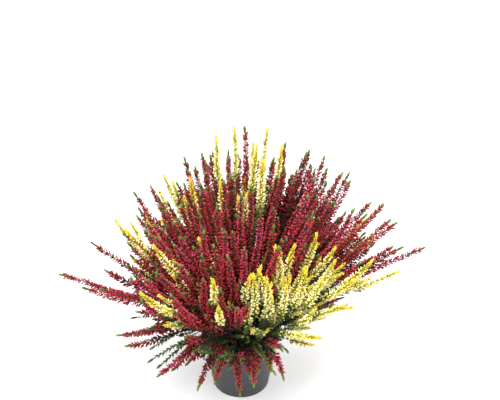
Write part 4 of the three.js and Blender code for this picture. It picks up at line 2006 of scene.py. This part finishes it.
@dataclass(frozen=True)
class Peat:
    """The block of peat: a lumpy crown with bark crumbs, and its sides against the pot."""

    pot: Pot
    top: float = 80.0
    crown: float = 1.0
    shoulder: float = 4.0
    flat_share: float = 0.86
    gap: float = 0.4
    lip: float = 1.0  # height above the shoulder's edge at which the lumps begin
    lump: float = 1.3
    fine_share: float = 0.5
    coarse_size: float = 9.0
    coarse_slice: float = 3.0  # height at which the noise is cut
    fine_size: float = 3.2
    fine_slice: float = 8.0
    rings: int = 18
    sides: int = 84
    crumbs: int = 420
    crumb_size: tuple[float, float] = (0.7, 2.0)
    crumb_widths: tuple[float, float] = (0.5, 1.0)
    crumb_shape: tuple[float, float, float] = (1.0, 0.7, 1.0)
    crumb_lift: float = 0.6
    seed: int = 97

    def build(self) -> None:
        """Make the block and its crumbs, and dress them."""
        bottom = self.pot.floor_top + self.gap
        edge = self.top - self.shoulder
        inside = [self.pot.wall_radius(z) - self.pot.wall - self.gap for z in (bottom, edge)]
        profile = [(0.0, bottom), (inside[0], bottom), (inside[1], edge)]
        flat = inside[1] * self.flat_share
        for n in range(self.rings + 1):
            share = 1 - n / self.rings
            profile.append((flat * share, self.top + self.crown * (1 - share)))
        shape = turned(profile, self.sides)
        for vert in shape.verts:
            if vert.co.z > edge + self.lip:
                vert.co.z += self.surface(vert.co.x, vert.co.y)
        piece = cast("peat_block", shape)
        piece.data.shade_smooth()
        piece.data.materials.append(PeatFinish().material())
        settle(piece, "peat", "peat")
        self.scatter_crumbs(flat)

    def surface(self, x: float, y: float) -> float:
        """Give how far the peat's top is raised at a place.

        Args:
            x: The place's X.
            y: The place's Y.

        Returns:
            The height, which is below nothing in a hollow.
        """
        coarse = noise.noise(Vector((x, y, self.coarse_slice)) / self.coarse_size)
        fine = noise.noise(Vector((x, y, self.fine_slice)) / self.fine_size)
        return self.lump * (coarse + self.fine_share * fine)

    def scatter_crumbs(self, reach: float) -> None:
        """Strew bark crumbs over the peat.

        Args:
            reach: How far from the middle they lie at most.
        """
        random = np.random.default_rng(self.seed)
        shape = bmesh.new()
        bmesh.ops.create_icosphere(shape, subdivisions=1, radius=0.5)
        spots, faces = taken(shape)
        spots = spots * self.crumb_shape
        stamp = Stamp(spots, faces, np.clip(spots[:, :2] + 0.5, 0, 1))
        away = reach * np.sqrt(random.uniform(0, 1, self.crumbs))
        turn = random.uniform(0, 2 * math.pi, self.crumbs)
        x, y = away * np.cos(turn), away * np.sin(turn)
        z = np.array([self.top + self.crumb_lift + self.surface(a, b) for a, b in zip(x, y)])
        directions = unit(random.normal(0, 1, (self.crumbs, 3)))
        across = unit(np.cross(directions, random.normal(0, 1, (self.crumbs, 3))))
        lengths = random.uniform(*self.crumb_size, self.crumbs)
        widths = lengths * random.uniform(*self.crumb_widths, self.crumbs)
        tones = random.uniform(0, 1, self.crumbs)
        crop = Crop(np.stack([x, y, z], 1), directions, across, lengths, widths, tones)
        crumbs = Growth()
        crumbs.add_crop(stamp, crop, 0)
        settle(crumbs.mesh("peat_crumbs", [CRUMBS.material()]), "peat")


# ---- The studio ----


WHITE = (1.0, 1.0, 1.0, 1.0)


@dataclass(frozen=True)
class Lamp:
    """A soft square lamp: where it stands, what it faces, its width and its power."""

    place: Colour
    width: float
    power: float


@dataclass(frozen=True)
class Studio:
    """A plain pale floor, soft light and a camera that looks down on the plant's front."""

    target: Colour = (0.013, 0.0, 0.245)
    distance: float = 1.1
    elevation: float = 33.0
    lens: float = 61.0
    sensor: float = 36.0
    raise_view: float = 0.074  # of the frame's width, so that the plant stands low in it
    nearest: float = 0.05
    farthest: float = 30.0
    floor_width: float = 12.0
    floor_colour: Colour = (0.6, 0.6, 0.6)
    floor_glow: float = 0.45
    floor_roughness: float = 0.9
    sky: float = 0.66
    lamps: tuple[Lamp, ...] = (
        Lamp((-0.4, -0.9, 2.4), 1.2, 74.0),
        Lamp((1.1, -1.4, 1.4), 1.2, 10.0),
        Lamp((0.3, 0.5, 2.2), 1.2, 36.0),
    )

    def build(self) -> None:
        """Set the floor, the light and the camera."""
        self.lay_floor()
        self.set_sky()
        for number, lamp in enumerate(self.lamps):
            light = bpy.data.lights.new(f"lamp_{number}", "AREA")
            light.size, light.energy = lamp.width, lamp.power
            self.aim(f"lamp_{number}", light, Vector(lamp.place))
        camera = bpy.data.cameras.new("camera")
        camera.lens, camera.sensor_width = self.lens, self.sensor
        camera.shift_y = self.raise_view
        camera.clip_start, camera.clip_end = self.nearest, self.farthest
        tilt = math.radians(self.elevation)
        away = Vector((0.0, -math.cos(tilt), math.sin(tilt))) * self.distance
        eye = self.aim("camera", camera, Vector(self.target) + away)
        bpy.context.scene.camera = eye
        bpy.context.scene.view_settings.view_transform = "Standard"

    def aim(self, name: str, data: bpy.types.ID, place: Vector) -> bpy.types.Object:
        """Place a lamp or camera so that it faces the plant.

        Args:
            name: The object's name.
            data: The lamp or camera.
            place: Where it stands.

        Returns:
            The object.
        """
        holder = bpy.data.objects.new(name, data)
        holder.location = place
        facing = Vector(self.target) - place
        holder.rotation_euler = facing.to_track_quat("-Z", "Y").to_euler()
        bpy.context.scene.collection.objects.link(holder)
        return holder

    def lay_floor(self) -> None:
        """Lay the pale floor."""
        shape = bmesh.new()
        bmesh.ops.create_grid(shape, x_segments=1, y_segments=1, size=self.floor_width / 2)
        mesh = bpy.data.meshes.new("floor")
        shape.to_mesh(mesh)
        shape.free()
        recipe = Recipe("floor_paper")
        inputs = {
            "Base Color": (*self.floor_colour, 1.0),
            "Roughness": self.floor_roughness,
            "Emission Color": WHITE,
            "Emission Strength": self.floor_glow,
        }
        mesh.materials.append(recipe.finish(inputs))
        link("floor", mesh)

    def set_sky(self) -> None:
        """Light the scene evenly from all round."""
        world = bpy.data.worlds.new("studio")
        world.use_nodes = True
        background = world.node_tree.nodes["Background"]
        background.inputs["Color"].default_value = WHITE
        background.inputs["Strength"].default_value = self.sky
        bpy.context.scene.world = world


# ---- The whole plant ----


def main() -> None:
    """Build the pot, the peat, the sprays and the studio around the CAD frame."""
    logging.basicConfig(level=logging.INFO, format="%(name)s %(message)s")
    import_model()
    Studio().build()
    pot = Pot()
    pot.build()
    Peat(pot).build()
    SprayDresser().build(Planting().grow())


if __name__ == "__main__":
    main()
